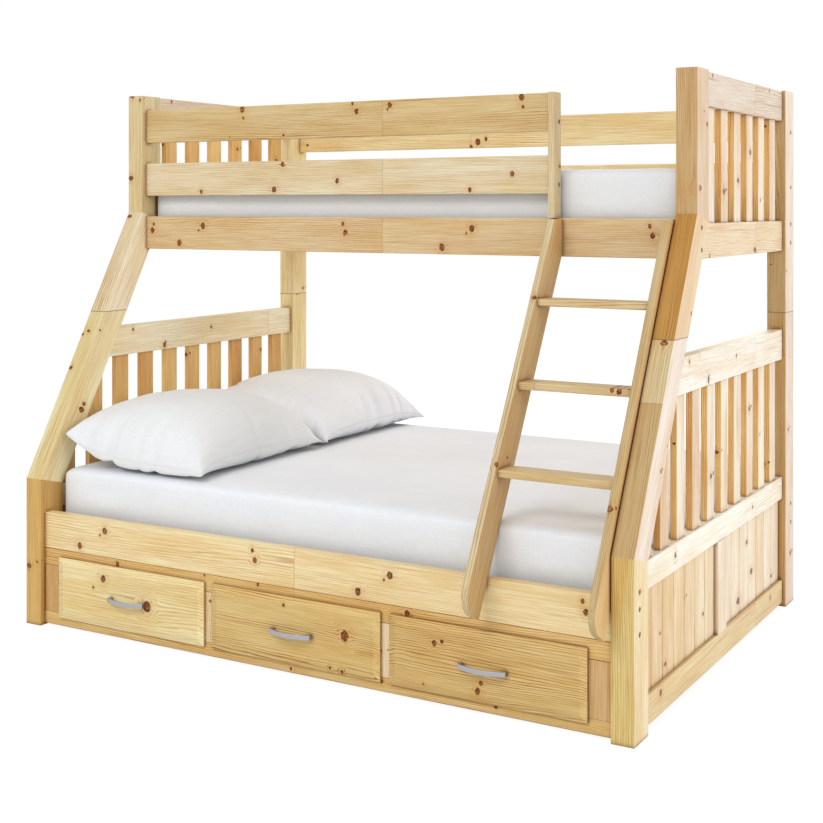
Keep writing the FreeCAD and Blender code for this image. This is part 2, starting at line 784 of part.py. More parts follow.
# Drawer carcass: partitions behind the stiles, a back board under the beam, and a runner on each bay's sides
back_board_front = middle_y - s.back_board_thickness / 2
partitions = []
for side_name, side in SIDES:
    for name, bays in (("inner", 1), ("outer", len(DRAWERS))):
        near = bays * drawer_pitch / 2 - s.partition_thickness / 2
        partitions.append(board(
            f"drawer_partition_{name}_{side_name}",
            (low_x(side, near, s.partition_thickness), frame_inner, 0),
            (s.partition_thickness, back_board_front - frame_inner, beam_base)))
node(group("drawer_partitions_set", partitions), "drawer_partitions")
carcass_reach = (len(DRAWERS) * drawer_pitch + s.partition_thickness) / 2
node(board("drawer_back_board_board", (-carcass_reach, back_board_front, 0),
           (2 * carcass_reach, s.back_board_thickness, beam_base)), "drawer_back_board")

box_start = frame_plane + s.front_tongue
box_length = back_board_front - s.box_back_room - box_start
box_base = opening_base + s.box_lift
box_height = opening_height - s.box_lift - s.box_headroom
box_half = opening_width / 2 - s.box_play
bay_half = (drawer_pitch - s.partition_thickness) / 2
runner_base = box_base + (box_height - s.runner_height) / 2
runner_length = box_start + box_length - s.runner_end_gap - frame_inner
runner_width = bay_half - box_half + s.runner_grip
runners = []
for drawer_name, place_number in DRAWERS:
    centre = place_number * drawer_pitch
    for side_name, side in SIDES:
        x = centre + low_x(side, box_half - s.runner_grip, runner_width)
        runners.append(board(f"runner_{drawer_name}_{side_name}", (x, frame_inner, runner_base),
                             (runner_width, runner_length, s.runner_height)))
node(group("drawer_runners_set", runners), "drawer_runners")


# Drawers
front_width = opening_width + 2 * s.front_side_lap
front_base = opening_base - s.front_base_lap
front_height = opening_height + s.front_base_lap + s.front_top_lap


def drawer_front(name, centre):
    """An overlay front with a shallow bevel round its face and a tongue that fits the opening."""
    slab = s.front_proud - s.front_bevel_depth
    face = plain_board(name + "_face", (centre - front_width / 2, frame_plane - slab, front_base),
                       (front_width, slab, front_height))
    bevel = doc.addObject("Part::Wedge", name + "_bevel")
    half = front_width / 2
    for prop, size in (
        ("Xmin", -half), ("Xmax", half), ("Ymin", 0), ("Ymax", s.front_bevel_depth),
        ("Zmin", 0), ("Zmax", front_height),
        ("X2min", -half + s.front_bevel_width), ("X2max", half - s.front_bevel_width),
        ("Z2min", s.front_bevel_width), ("Z2max", front_height - s.front_bevel_width),
    ):
        bind(bevel, prop, size)
    place(bevel, (centre, frame_plane - slab, front_base), Rotation(Vector(0, 0, 1), 180))
    tongue = plain_board(
        name + "_tongue",
        (centre - opening_width / 2 + s.front_tongue_play, frame_plane, opening_base + s.front_tongue_play),
        (opening_width - 2 * s.front_tongue_play, s.front_tongue, opening_height - 2 * s.front_tongue_play))
    return node(fused(name + "_whole", [face, bevel, tongue]), name)


def drawer_box(name, centre):
    """Two grooved sides, a front and a back wall between them, and a bottom."""
    inner = box_half - s.box_wall
    groove_depth = s.runner_grip + s.groove_side_play
    groove_top = runner_base + s.runner_height + s.runner_clearance
    groove_height = s.runner_height + s.runner_clearance + s.groove_play
    walls = []
    for side_name, side in SIDES:
        wall_x = centre + low_x(side, inner, s.box_wall)
        groove_x = centre + low_x(side, box_half - groove_depth, s.box_wall)
        wall = board(f"{name}_side_{side_name}", (wall_x, box_start, box_base),
                     (s.box_wall, box_length, box_height))
        groove = plain_board(f"{name}_groove_{side_name}", (groove_x, box_start, groove_top - groove_height),
                             (s.box_wall, box_length, groove_height))
        walls.append(cut(f"{name}_wall_{side_name}", wall, groove))
    for wall_name, y in (("front", box_start), ("back", box_start + box_length - s.box_wall)):
        walls.append(board(f"{name}_{wall_name}", (centre - inner, y, box_base),
                           (2 * inner, s.box_wall, box_height)))
    walls.append(plain_board(f"{name}_bottom", (centre - inner, box_start + s.box_wall, box_base),
                             (2 * inner, box_length - 2 * s.box_wall, s.box_bottom)))
    return node(group(name + "_set", walls), name)


def bow_radius(chord, rise):
    return (chord * chord / 4 + rise * rise) / (2 * rise)


def drawer_handle(name, centre):
    """A bowed flat bar with a straight leg at each end."""
    body = doc.addObject("PartDesign::Body", name + "_body")
    sketch = new_sketch(body, name + "_outline", "XY_Plane")
    outer = s.handle_length / 2
    inner = outer - s.handle_foot
    outer_end = s.handle_end_projection
    inner_end = s.handle_end_projection - s.handle_bar
    rise = s.handle_projection - s.handle_end_projection
    for reach, depth in ((outer, outer_end), (inner, inner_end)):
        far = Vector(reach.value, -depth.value, 0)
        near = Vector(-reach.value, -depth.value, 0)
        sketch.addGeometry(Part.Arc(near, Vector(0, -(depth + rise).value, 0), far))
    legs = (
        ((-outer, 0), (-inner, 0)), ((-inner, 0), (-inner, -inner_end)), ((inner, -inner_end), (inner, 0)),
        ((inner, 0), (outer, 0)), ((outer, 0), (outer, -outer_end)), ((-outer, -outer_end), (-outer, 0)),
    )
    for ends in legs:
        sketch.addGeometry(Part.LineSegment(*(
            Vector(Size.of(across).value, Size.of(depth).value, 0) for across, depth in ends)))
    for joined in (
        (2, 2, 3, 1), (3, 2, 1, 1), (1, 2, 4, 1), (4, 2, 5, 1),
        (5, 2, 6, 1), (6, 2, 0, 2), (0, 1, 7, 1), (7, 2, 2, 1),
    ):
        sketch.addConstraint(Sketcher.Constraint("Coincident", *joined))
    for geometry, ((across, depth), _) in enumerate(legs, 2):
        pin_point(sketch, geometry, 1, across, depth)
    for geometry, ends in ((3, legs[1]), (6, legs[4])):
        pin_point(sketch, geometry, 2, *ends[1])
    for geometry, reach in ((0, outer), (1, inner)):
        radius = bow_radius(2 * reach, rise)
        number = sketch.addConstraint(Sketcher.Constraint("Radius", geometry, radius.value))
        sketch.setExpression(f"Constraints[{number}]", radius.formula)
    pad_sketch(body, name + "_pad", sketch, s.handle_height)
    edges = enumerate(body.Tip.Shape.Edges, 1)
    bows = [number for number, edge in edges if isinstance(edge.Curve, Part.Circle)]
    round_edges(body, name + "_round", bows, s.handle_round)
    level = front_base + (front_height - s.handle_height) / 2 - s.handle_drop
    place(body, (centre, frame_plane - s.front_proud, level))
    return node(body, name)


for drawer_name, place_number in DRAWERS:
    drawer_front(f"drawer_front_{drawer_name}", place_number * drawer_pitch)
    drawer_box(f"drawer_box_{drawer_name}", place_number * drawer_pitch)
    drawer_handle(f"drawer_handle_{drawer_name}", place_number * drawer_pitch)


# Mattresses: rounded edges and a slight crown, as a stack of rounded rectangles
def rounded_rectangle(half_x, half_y, corner, z):
    edges = []
    turn = corner * (1 - math.sqrt(0.5))
    for sign_x, sign_y in ((1, -1), (1, 1), (-1, 1), (-1, -1)):
        along_x = Vector(sign_x * (half_x - corner), sign_y * half_y, z)
        middle = Vector(sign_x * (half_x - turn), sign_y * (half_y - turn), z)
        along_y = Vector(sign_x * half_x, sign_y * (half_y - corner), z)
        ends = (along_x, along_y) if sign_x * sign_y < 0 else (along_y, along_x)
        edges.append((ends[0], middle, ends[1]))
    shapes = []
    for index, (start, middle, end) in enumerate(edges):
        shapes.append(Part.Arc(start, middle, end).toShape())
        shapes.append(Part.LineSegment(end, edges[(index + 1) % len(edges)][0]).toShape())
    return Part.Wire(shapes)


def mattress(name, low_y, high_y, base, height):
    half_x = inner_x.value - s.mattress_end_gap.value
    half_y = (high_y.value - low_y.value) / 2
    edge = s.mattress_edge.value
    crown = s.mattress_crown.value
    shoulder = height.value - crown
    corner = s.mattress_corner.value
    levels = []
    for step in range(ROUND_STEPS):
        angle = math.pi / 2 * step / (ROUND_STEPS - 1)
        levels.append((edge * (1 - math.sin(angle)), edge * (1 - math.cos(angle))))
    sections = list(levels)
    sections += [(inset, shoulder - rise) for inset, rise in reversed(levels)]
    width = CROWN_SHARE * (half_y - edge - corner)
    for share in (0.5, 1.0):
        sections.append((edge + width * share, shoulder + crown * math.sin(math.pi / 2 * share)))
    wires = [rounded_rectangle(half_x - inset, half_y - inset, corner, level) for inset, level in sections]
    feature = doc.addObject("Part::Feature", name)
    feature.Shape = Part.makeLoft(wires, True, True)
    feature.Placement = Placement(
        Vector(0, (low_y.value + high_y.value) / 2, base.value + s.soft_clearance.value), Rotation())
    return node(feature, name)


# The lower mattress lies just behind the ladder's stiles
shoulder_height = lower_slat_top + s.lower_mattress_height - s.mattress_crown - s.mattress_edge
edge_reach = s.mattress_edge * (ladder_slant - 1)
lower_mattress_front = ladder_rear(shoulder_height) + edge_reach + s.mattress_ladder_gap
mattress_back = back_rail_plane - s.mattress_side_gap
mattress("lower_mattress", lower_mattress_front, mattress_back, lower_slat_top, s.lower_mattress_height)
mattress("upper_mattress", upper_rail_inner + s.mattress_side_gap, mattress_back, upper_slat_top,
         s.upper_mattress_height)


# Pillows: drawn-in sides at the seam, a full crown above it and a flat underside on the mattress
def pillow_section(half_x, half_y, bow, z):
    corners = [Vector(x * half_x, y * half_y, z) for x, y in ((1, -1), (1, 1), (-1, 1), (-1, -1))]
    arcs = []
    for index, start in enumerate(corners):
        end = corners[(index + 1) % len(corners)]
        middle = (start + end) / 2
        outward = Vector(middle.x, middle.y, 0).normalize()
        arcs.append(Part.Arc(start, middle + outward * bow, end).toShape())
    return Part.Wire(arcs)


def pillow(name, centre_y, rest):
    half_x = s.pillow_width.value / 2
    half_y = s.pillow_length.value / 2
    sections = []
    for rise, plan, bow in PILLOW_SECTION_SHARES:
        sections.append((rise * s.pillow_upper_bulge.value, plan, bow))
        if rise > 0:
            sections.append((-rise * s.pillow_lower_bulge.value, plan, bow))
    wires = [
        pillow_section(half_x * plan, half_y * plan, half_x * bow, level)
        for level, plan, bow in sorted(sections)]
    form = Part.makeLoft(wires, True, True)
    tilt = math.atan2(s.pillow_head_lift.value - s.pillow_foot_lift.value, s.pillow_width.value)
    lift = (s.pillow_head_lift.value + s.pillow_foot_lift.value) / 2
    head_x = -end_slat_near.value + s.pillow_head_gap.value
    centre = Vector(head_x + half_x * math.cos(tilt), centre_y.value, rest + lift)
    form.Placement = Placement(centre, Rotation(Vector(0, 1, 0), math.degrees(tilt)))
    reach = s.pillow_length.value
    ground = Part.makeBox(2 * reach, 2 * reach, reach, Vector(-reach, -reach, -reach))
    ground.translate(Vector(head_x, centre_y.value, rest))
    feature = doc.addObject("Part::Feature", name)
    feature.Shape = form.cut(ground)
    return node(feature, name)


mattress_top = lower_slat_top.value + s.lower_mattress_height.value + 2 * s.soft_clearance.value
pillow_step = (s.pillow_length + s.pillow_gap) / 2
pillow("pillow_front", middle_y + s.pillow_setback - pillow_step, mattress_top)
pillow("pillow_back", middle_y + s.pillow_setback + pillow_step, mattress_top)

doc.recompute()
failed = [thing.Label for thing in doc.Objects if {"Invalid", "Error"} & set(thing.State)]
failed += [thing.Label for thing in nodes if thing.Shape.isNull() or not thing.Shape.isValid()]
if failed:
    raise RuntimeError("not built: " + ", ".join(sorted(set(failed))))

os.makedirs("parts", exist_ok=True)
for thing in nodes:
    thing.Shape.exportStep(os.path.join("parts", thing.Label + ".step"))
print(len(nodes), "nodes,", sum(len(thing.Shape.Solids) for thing in nodes), "solids")
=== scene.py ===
import math
import random

import bmesh
import bpy
from mathutils import Matrix, Vector, noise


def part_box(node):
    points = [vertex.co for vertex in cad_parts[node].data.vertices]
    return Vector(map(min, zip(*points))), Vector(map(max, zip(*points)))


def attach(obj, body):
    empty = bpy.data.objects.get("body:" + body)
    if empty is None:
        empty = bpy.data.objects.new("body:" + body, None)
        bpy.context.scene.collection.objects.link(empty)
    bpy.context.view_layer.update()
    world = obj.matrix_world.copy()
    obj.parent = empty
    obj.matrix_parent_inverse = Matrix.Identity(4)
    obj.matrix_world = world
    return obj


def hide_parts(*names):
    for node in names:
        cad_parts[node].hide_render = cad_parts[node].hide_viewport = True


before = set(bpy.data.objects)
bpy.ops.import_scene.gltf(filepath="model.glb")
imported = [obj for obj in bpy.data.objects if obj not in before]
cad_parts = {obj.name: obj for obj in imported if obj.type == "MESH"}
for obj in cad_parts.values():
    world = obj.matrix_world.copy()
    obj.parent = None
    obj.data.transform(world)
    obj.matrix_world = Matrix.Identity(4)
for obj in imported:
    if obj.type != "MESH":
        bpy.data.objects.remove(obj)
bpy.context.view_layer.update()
scene = bpy.context.scene
scene.view_settings.view_transform = "Standard"


# Camera, level, at the photograph's place
SENSOR_WIDTH, LENS_LENGTH, FRAME_SHIFT = 36, 60.48, -0.2485
EYE_ALONG, EYE_BEFORE_BACK, EYE_HEIGHT, EYE_TURN = 2.2587, 4.7103, 1.3324, 30.065
camera_data = bpy.data.cameras.new("camera")
camera_data.sensor_width, camera_data.lens, camera_data.shift_y = SENSOR_WIDTH, LENS_LENGTH, FRAME_SHIFT
camera = bpy.data.objects.new("camera", camera_data)
camera.location = (EYE_ALONG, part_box("back_post_lower_left")[1].y - EYE_BEFORE_BACK, EYE_HEIGHT)
camera.rotation_euler = (math.radians(90), 0, math.radians(EYE_TURN))
scene.collection.objects.link(camera)
scene.camera = camera


# Node wiring
def paint(red, green, blue):
    """A colour as it looks, 0 to 255, in the numbers that the nodes take."""
    def straight(level):
        level = level / 255
        return level / 12.92 if level <= 0.04045 else ((level + 0.055) / 1.055) ** 2.4
    return (straight(red), straight(green), straight(blue), 1.0)


class Wiring:
    """Lays nodes into a tree and joins them up."""

    def __init__(self, tree):
        self.tree = tree

    def add(self, kind, inputs=(), **settings):
        node = self.tree.nodes.new(kind)
        for name, value in settings.items():
            setattr(node, name, value)
        self.give(node, inputs)
        return node

    def give(self, node, inputs):
        for name, value in dict(inputs).items():
            self.feed(node.inputs[name], value)

    def feed(self, socket, value):
        if isinstance(value, bpy.types.NodeSocket):
            self.tree.links.new(value, socket)
        else:
            socket.default_value = value

    def group(self, tree, inputs):
        return self.add("ShaderNodeGroup", inputs, node_tree=tree).outputs

    def math(self, operation, first, second=0.0, clamp=False):
        return self.add("ShaderNodeMath", {0: first, 1: second}, operation=operation, use_clamp=clamp).outputs[0]

    def times(self, first, second):
        return self.math("MULTIPLY", first, second)

    def plus(self, first, second):
        return self.math("ADD", first, second)

    def most(self, first, second):
        return self.math("MAXIMUM", first, second)

    def vector(self, operation, first, second=(0.0, 0.0, 0.0)):
        return self.add("ShaderNodeVectorMath", {0: first, 1: second}, operation=operation).outputs[0]

    def scaled(self, vector, share):
        return self.add("ShaderNodeVectorMath", {0: vector, "Scale": share}, operation="SCALE").outputs[0]

    def length(self, vector):
        return self.add("ShaderNodeVectorMath", {0: vector}, operation="LENGTH").outputs["Value"]

    def split(self, vector):
        return self.add("ShaderNodeSeparateXYZ", {0: vector}).outputs

    def joined(self, **parts):
        return self.add("ShaderNodeCombineXYZ", parts).outputs[0]

    def ramp(self, value, low, high, to_low=0.0, to_high=1.0):
        """Value carried smoothly from one range to another."""
        return self.add("ShaderNodeMapRange", {
            "Value": value, "From Min": low, "From Max": high, "To Min": to_low, "To Max": to_high,
        }, interpolation_type="SMOOTHSTEP").outputs["Result"]

    def blend(self, share, first, second, way="MIX"):
        return self.add(
            "ShaderNodeMix", {"Factor": share, "A": first, "B": second}, data_type="RGBA",
            blend_type=way).outputs["Result"]

    def noise(self, place, scale, detail=2.0, roughness=0.5):
        """Soft unevenness; a scale of three numbers stretches it along the axes."""
        if isinstance(scale, tuple):
            place, scale = self.vector("MULTIPLY", place, scale), 1.0
        return self.add("ShaderNodeTexNoise", {
            "Vector": place, "Scale": scale, "Detail": detail, "Roughness": roughness}).outputs

    def chance(self, place):
        """A random colour for each place."""
        return self.add("ShaderNodeTexWhiteNoise", {"Vector": place}, noise_dimensions="3D").outputs["Color"]

    def bump(self, height, strength, distance, **more):
        return self.add("ShaderNodeBump", {
            "Height": height, "Strength": strength, "Distance": distance, **more}).outputs[0]

    def crevice(self, distance):
        """Less than 1 where other faces are nearer than the distance."""
        return self.add("ShaderNodeAmbientOcclusion", {"Distance": distance}, samples=5).outputs["AO"]


SOCKETS = {"value": "NodeSocketFloat", "vector": "NodeSocketVector", "colour": "NodeSocketColor"}
NOWHERE, MIDWAY = (0, 0, 0), (0.5, 0.5, 0.5)


def new_group(name, inputs, outputs):
    """An empty shader group with its named sockets, its wiring, its inputs and its end."""
    tree = bpy.data.node_groups.new(name, "ShaderNodeTree")
    for socket, (kind, value) in inputs.items():
        made = tree.interface.new_socket(name=socket, in_out="INPUT", socket_type=SOCKETS[kind])
        made.default_value = value
    for socket, kind in outputs.items():
        tree.interface.new_socket(name=socket, in_out="OUTPUT", socket_type=SOCKETS[kind])
    wiring = Wiring(tree)
    return tree, wiring, wiring.add("NodeGroupInput").outputs, wiring.add("NodeGroupOutput").inputs


def board_number_group():
    """A random vector for each board of a row, told apart by where the point lies, and how near its edge is."""
    tree, w, given, end = new_group("board_number", {
        "Position": ("vector", NOWHERE), "Middle": ("vector", NOWHERE), "Start": ("vector", NOWHERE),
        "Step": ("vector", (9, 9, 9)),
    }, {"Board": "vector", "Edge": "value"})
    away = w.vector("SUBTRACT", given["Position"], given["Middle"])
    along = w.vector("SUBTRACT", w.vector("ABSOLUTE", away), given["Start"])
    steps = w.vector("DIVIDE", along, given["Step"])
    side = w.vector("MULTIPLY", w.vector("SIGN", away), (37.0, 53.0, 71.0))
    cell = w.vector("ADD", w.vector("ADD", w.vector("FLOOR", steps), side), MIDWAY)
    w.feed(end["Board"], w.chance(cell))
    into = w.vector("FRACTION", steps)
    left = w.vector("SUBTRACT", (1.0, 1.0, 1.0), into)
    near = w.split(w.vector("MULTIPLY", w.vector("MINIMUM", into, left), given["Step"]))
    w.feed(end["Edge"], w.math("MINIMUM", near["X"], w.math("MINIMUM", near["Y"], near["Z"])))
    return tree


# Pine: lengths in metres, noises in waves per metre along the grain and across it
MASKS = ("Heart", "Rim", "Halo", "Parting")
FIELD_WAVES, RIPPLE_WAVES, STRENGTH_WAVES = (0.8, 7.0, 7.0), (7.0, 70.0, 70.0), (1.6, 16.0, 16.0)
FIBRE_WAVES, RESIN_WAVES, DRIFT_WAVES = (7.0, 230.0, 230.0), (2.2, 75.0, 75.0), (2.6, 12.0, 12.0)
PLACED_WAVES, STRAY_WAVES, HEART_WAVES = 140.0, 150.0, 170.0
RINGS_LEAST, RINGS_MORE, RINGS_IN_FIELD, RINGS_IN_RIPPLE = 130.0, 90.0, 14.0, 1.3
LATE_RISE, LATE_FALL = (0.52, 0.92), (1.0, 0.95)
JOINT_LINE, SPLICE_LINE, SEAM_LINE = (0.0016, 0.0004), (0.0018, 0.0005), (0.0022, 0.0006)

# Knots: the edges of their parts in radii, from none to full
HEART_EDGE, RIM_INSIDE, RIM_OUTSIDE, HALO_EDGE = (1.2, 0.85), (0.5, 0.9), (1.3, 0.95), (4.5, 0.8)
STREAK_SIDE, STREAK_END, PARTING = (0.6, 0.0), (4.5, 0.5), -0.85
KNOT_ALONG, KNOT_ACROSS, KNOT_LEAST, KNOT_MOST = 0.26, 0.095, 0.0036, 0.0088
PLACED_OVAL, STRAY_OVAL, PLACED_RAGGED, STRAY_RAGGED = (1.15, 0.92, 0.92), (1.15, 0.9, 0.0), 0.8, 0.0055
PAIRED_FROM, SMALL_BESIDE, SMALL_SIZE = 0.45, (0.006, 0.021, 0.0), 0.6

# Tones of the wood, and the share of each where it is strongest; the corner tone is painted shade where other faces
# are near
# The fibre lift makes up for the fibre's darkening, and it is partly painted reflection: a whitening that stands in
# for sheen
FIBRE_TONE, FIBRE_AND_SHEEN_LIFT = paint(226, 196, 150), (1.097, 1.232, 1.496)
JOINT_TONE, SEAM_TONE, GROOVE_TONE, CORNER_SHADE_TONE = (
    paint(150, 100, 52), paint(120, 76, 38), paint(122, 76, 36), paint(132, 78, 36))
HALO_TONE, STREAK_TONE, RIM_TONE = paint(200, 134, 60), paint(136, 84, 42), paint(46, 22, 8)
HEART_PALE, HEART_DARK = paint(168, 94, 28), paint(88, 44, 14)
JOINT_SHARE, SPLICE_SHARE, SEAM_SHARE, GROOVE_SHARE = 0.4, 0.45, 0.7, 0.75
HALO_SHARE, STREAK_SHARE, HEART_SHARE, RESIN_SHARE, FIBRE_SHARE = 0.24, 0.45, 0.95, 0.5, 0.62
# Painted shade: how near other faces must be, and how far the colour is darkened towards the corner tone in corners
# and between parts
CORNER_SHADE_SHARE, CORNER_SHADE_REACH, CORNER_SHADE_RANGE = 0.85, 0.016, (0.92, 0.3)
GRAIN_BUMP, GRAIN_DEPTH = 0.14, 0.0006
WOOD_SHINE = {"Specular IOR Level": 0.16, "Coat Weight": 0.08, "Coat Roughness": 0.3}


def knot_masks(w, away, radius):
    """Heart, rim and halo of a knot, from the way to its middle and its radius."""
    far = w.math("DIVIDE", w.length(away), radius)
    rim = w.times(w.ramp(far, *RIM_INSIDE), w.ramp(far, *RIM_OUTSIDE))
    return w.ramp(far, *HEART_EDGE), rim, w.ramp(far, *HALO_EDGE)


def placed_knot_group():
    """A knot at a chosen place on a board, laid over the knots so far. X is along the grain."""
    tree, w, given, end = new_group("placed_knot", {
        "Position": ("vector", NOWHERE), "Centre": ("vector", NOWHERE), "Flat": ("vector", (1, 1, 1)),
        "Radius": ("value", 0.006), **{mask: ("value", 0.0) for mask in MASKS},
    }, {mask: "value" for mask in MASKS})
    away = w.vector("MULTIPLY", w.vector("SUBTRACT", given["Position"], given["Centre"]), given["Flat"])
    ragged = w.vector("SUBTRACT", w.noise(given["Position"], PLACED_WAVES)["Color"], MIDWAY)
    away = w.vector("ADD", away, w.scaled(ragged, w.times(given["Radius"], PLACED_RAGGED)))
    heart, rim, halo = knot_masks(w, w.vector("MULTIPLY", away, PLACED_OVAL), given["Radius"])
    for mask, found in zip(MASKS, (heart, rim, halo)):
        w.feed(end[mask], w.most(given[mask], found))
    off = w.split(away)
    push = w.times(w.times(w.plus(off["Y"], off["Z"]), halo), PARTING)
    w.feed(end["Parting"], w.plus(given["Parting"], push))
    return tree


def pine_grain_group():
    """Finger-jointed pine: growth lines that part round knots, fibre and changes of tone. X is along the grain."""
    tree, w, given, end = new_group("pine_grain", {
        "Position": ("vector", NOWHERE), "Board": ("vector", MIDWAY), "Pale": ("colour", paint(226, 205, 160)),
        "Deep": ("colour", paint(206, 168, 112)), "Line": ("colour", paint(176, 122, 66)),
        "Line strength": ("value", 0.5), "Knot share": ("value", 0.5), "Piece length": ("value", 1.2),
        **{mask: ("value", 0.0) for mask in MASKS},
    }, {"Colour": "colour", "Roughness": "value", "Height": "value"})

    # The pieces that a board is jointed from
    board = w.split(given["Board"])
    lengthwise = w.split(given["Position"])["X"]
    pieces = w.plus(w.math("DIVIDE", lengthwise, given["Piece length"]), w.times(board["Z"], 7.0))
    piece = w.chance(w.joined(
        X=w.math("FLOOR", pieces), Y=w.times(board["X"], 91.0), Z=w.times(board["Y"], 57.0)))
    own = w.split(piece)
    into = w.math("FRACT", pieces)
    to_joint = w.times(w.math("MINIMUM", into, w.math("SUBTRACT", 1.0, into)), given["Piece length"])
    joint = w.ramp(to_joint, *JOINT_LINE)
    shifted = w.vector("ADD", given["Position"], w.vector("MULTIPLY", given["Board"], (7.0, 3.0, 5.0)))
    shifted = w.vector("ADD", shifted, w.vector("MULTIPLY", piece, (3.0, 2.0, 2.0)))
    parts = w.split(shifted)
    across = w.plus(parts["Y"], parts["Z"])

    # Knots lie in a loose grid on the face, some places left empty, some with a small one beside
    face = w.joined(X=w.math("DIVIDE", parts["X"], KNOT_ALONG), Y=w.math("DIVIDE", across, KNOT_ACROSS))
    knot_cell = w.add("ShaderNodeTexVoronoi", {
        "Vector": face, "Scale": 1.0, "Randomness": 0.9}, voronoi_dimensions="2D").outputs
    chance = w.split(knot_cell["Color"])
    to_knot = w.vector("MULTIPLY", w.vector("SUBTRACT", face, knot_cell["Position"]), (KNOT_ALONG, KNOT_ACROSS, 0.0))
    ragged = w.vector("SUBTRACT", w.noise(shifted, STRAY_WAVES)["Color"], MIDWAY)
    to_knot = w.vector("ADD", to_knot, w.scaled(ragged, STRAY_RAGGED))
    radius = w.ramp(chance["Y"], 0.0, 1.0, KNOT_LEAST, KNOT_MOST)
    kept = w.math("LESS_THAN", chance["X"], given["Knot share"])
    paired = w.times(w.math("GREATER_THAN", chance["Z"], PAIRED_FROM), kept)

    def knot(offset, size, shown):
        """The masks of a knot beside the place where the branch grew."""
        away = w.vector("MULTIPLY", w.vector("SUBTRACT", to_knot, offset), STRAY_OVAL)
        return [w.times(mask, shown) for mask in knot_masks(w, away, w.times(radius, size))]

    heart, rim, grown_halo = knot(NOWHERE, 1.0, kept)
    small_heart, small_rim = knot(SMALL_BESIDE, SMALL_SIZE, paired)[:2]
    heart = w.most(w.most(heart, small_heart), given["Heart"])
    rim = w.most(w.most(rim, small_rim), given["Rim"])
    halo = w.most(grown_halo, given["Halo"])
    away = w.split(to_knot)
    thin = w.ramp(w.math("DIVIDE", w.math("ABSOLUTE", away["Y"]), radius), *STREAK_SIDE)
    long = w.ramp(w.math("DIVIDE", w.math("ABSOLUTE", away["X"]), radius), *STREAK_END)
    streak = w.times(w.times(thin, long), kept)

    # Growth lines: contours of a long stretched field, parted by the knots
    parting = w.plus(w.times(w.times(away["Y"], grown_halo), PARTING), given["Parting"])
    bent = w.vector("ADD", shifted, w.joined(Y=parting))
    field = w.noise(bent, FIELD_WAVES, 1.5, 0.4)[0]
    close = w.plus(w.times(own["Y"], RINGS_MORE), RINGS_LEAST)
    way = w.math("SIGN", w.math("SUBTRACT", own["Z"], 0.5))
    rings = w.times(w.plus(across, parting), w.times(close, way))
    rings = w.plus(rings, w.times(field, RINGS_IN_FIELD))
    rings = w.plus(rings, w.times(w.noise(bent, RIPPLE_WAVES)[0], RINGS_IN_RIPPLE))
    part = w.math("FRACT", rings)
    late = w.times(w.ramp(part, *LATE_RISE), w.ramp(part, *LATE_FALL))
    late = w.times(late, w.ramp(w.noise(bent, STRENGTH_WAVES)[0], 0.3, 0.7, 0.12, 1.0))

    fibre = w.noise(shifted, FIBRE_WAVES, 3.0, 0.7)[0]
    resin = w.noise(bent, RESIN_WAVES, 2.0, 0.6)[0]
    drift = w.noise(shifted, DRIFT_WAVES)[0]
    tone = w.plus(w.times(board["Y"], 0.5), w.ramp(drift, 0.25, 0.75, -0.3, 0.5))
    tone = w.math("ADD", tone, w.times(w.math("SUBTRACT", own["X"], 0.4), 0.15), clamp=True)

    # Tones laid one over another, from the board's own to the rims of its knots
    colour = w.blend(tone, given["Pale"], given["Deep"])
    colour = w.blend(w.times(late, given["Line strength"]), colour, given["Line"])
    colour = w.blend(w.ramp(resin, 0.60, 0.78, 0.0, RESIN_SHARE), colour, given["Line"])
    # Lifted against the fibre's darkening, and partly painted reflection: a whitening that stands in for sheen
    colour = w.vector("MULTIPLY", colour, FIBRE_AND_SHEEN_LIFT)
    colour = w.blend(w.ramp(fibre, 0.75, 0.25, 0.0, FIBRE_SHARE), colour, FIBRE_TONE, "MULTIPLY")
    for mask, share, there in (
            (joint, JOINT_SHARE, JOINT_TONE), (halo, HALO_SHARE, HALO_TONE), (streak, STREAK_SHARE, STREAK_TONE)):
        colour = w.blend(w.times(mask, share), colour, there)
    patchy = w.ramp(w.noise(shifted, HEART_WAVES)[0], 0.36, 0.62)
    colour = w.blend(w.times(heart, HEART_SHARE), colour, w.blend(patchy, HEART_PALE, HEART_DARK))
    colour = w.blend(w.times(rim, w.plus(w.times(patchy, 0.7), 0.25)), colour, RIM_TONE)
    w.feed(end["Colour"], colour)

    rough = w.plus(w.ramp(fibre, 0.2, 0.8, 0.38, 0.50), w.times(late, -0.05))
    w.feed(end["Roughness"], w.plus(rough, w.times(heart, -0.08)))
    height = w.plus(w.times(late, 0.5), w.times(fibre, 0.7))
    w.feed(end["Height"], w.plus(height, w.times(rim, -0.8)))
    return tree


board_number = board_number_group()
placed_knot = placed_knot_group()
pine_grain = pine_grain_group()


def new_material(name):
    """An empty material with its wiring and its skin."""
    material = bpy.data.materials.new(name)
    material.use_nodes = True
    material.node_tree.nodes.clear()
    wiring = Wiring(material.node_tree)
    skin = wiring.add("ShaderNodeBsdfPrincipled")
    wiring.add("ShaderNodeOutputMaterial", {"Surface": skin.outputs[0]})
    return material, wiring, skin


def seeded(name):
    """Three numbers of a piece's own, the same on each run."""
    chance = random.Random(name)
    return (chance.random(), chance.random(), chance.random())


def shared(tone, shares):
    """A tone with a share taken of each of its levels."""
    return [level * share for level, share in zip(tone, shares)]


GRAIN_ORDER = {"X": "XYZ", "Y": "YXZ", "Z": "ZXY"}
DEEP_SHARES, LINE_SHARES = (0.955, 0.89, 0.77), (0.77, 0.55, 0.31)
STRAY_KNOTS = 0.08
FACES_OUT, FACES_IN, FACES_FRONT, BEVEL_UP = (0.6, 0.8), (-0.6, -0.8), (-0.8, -0.9), 0.6


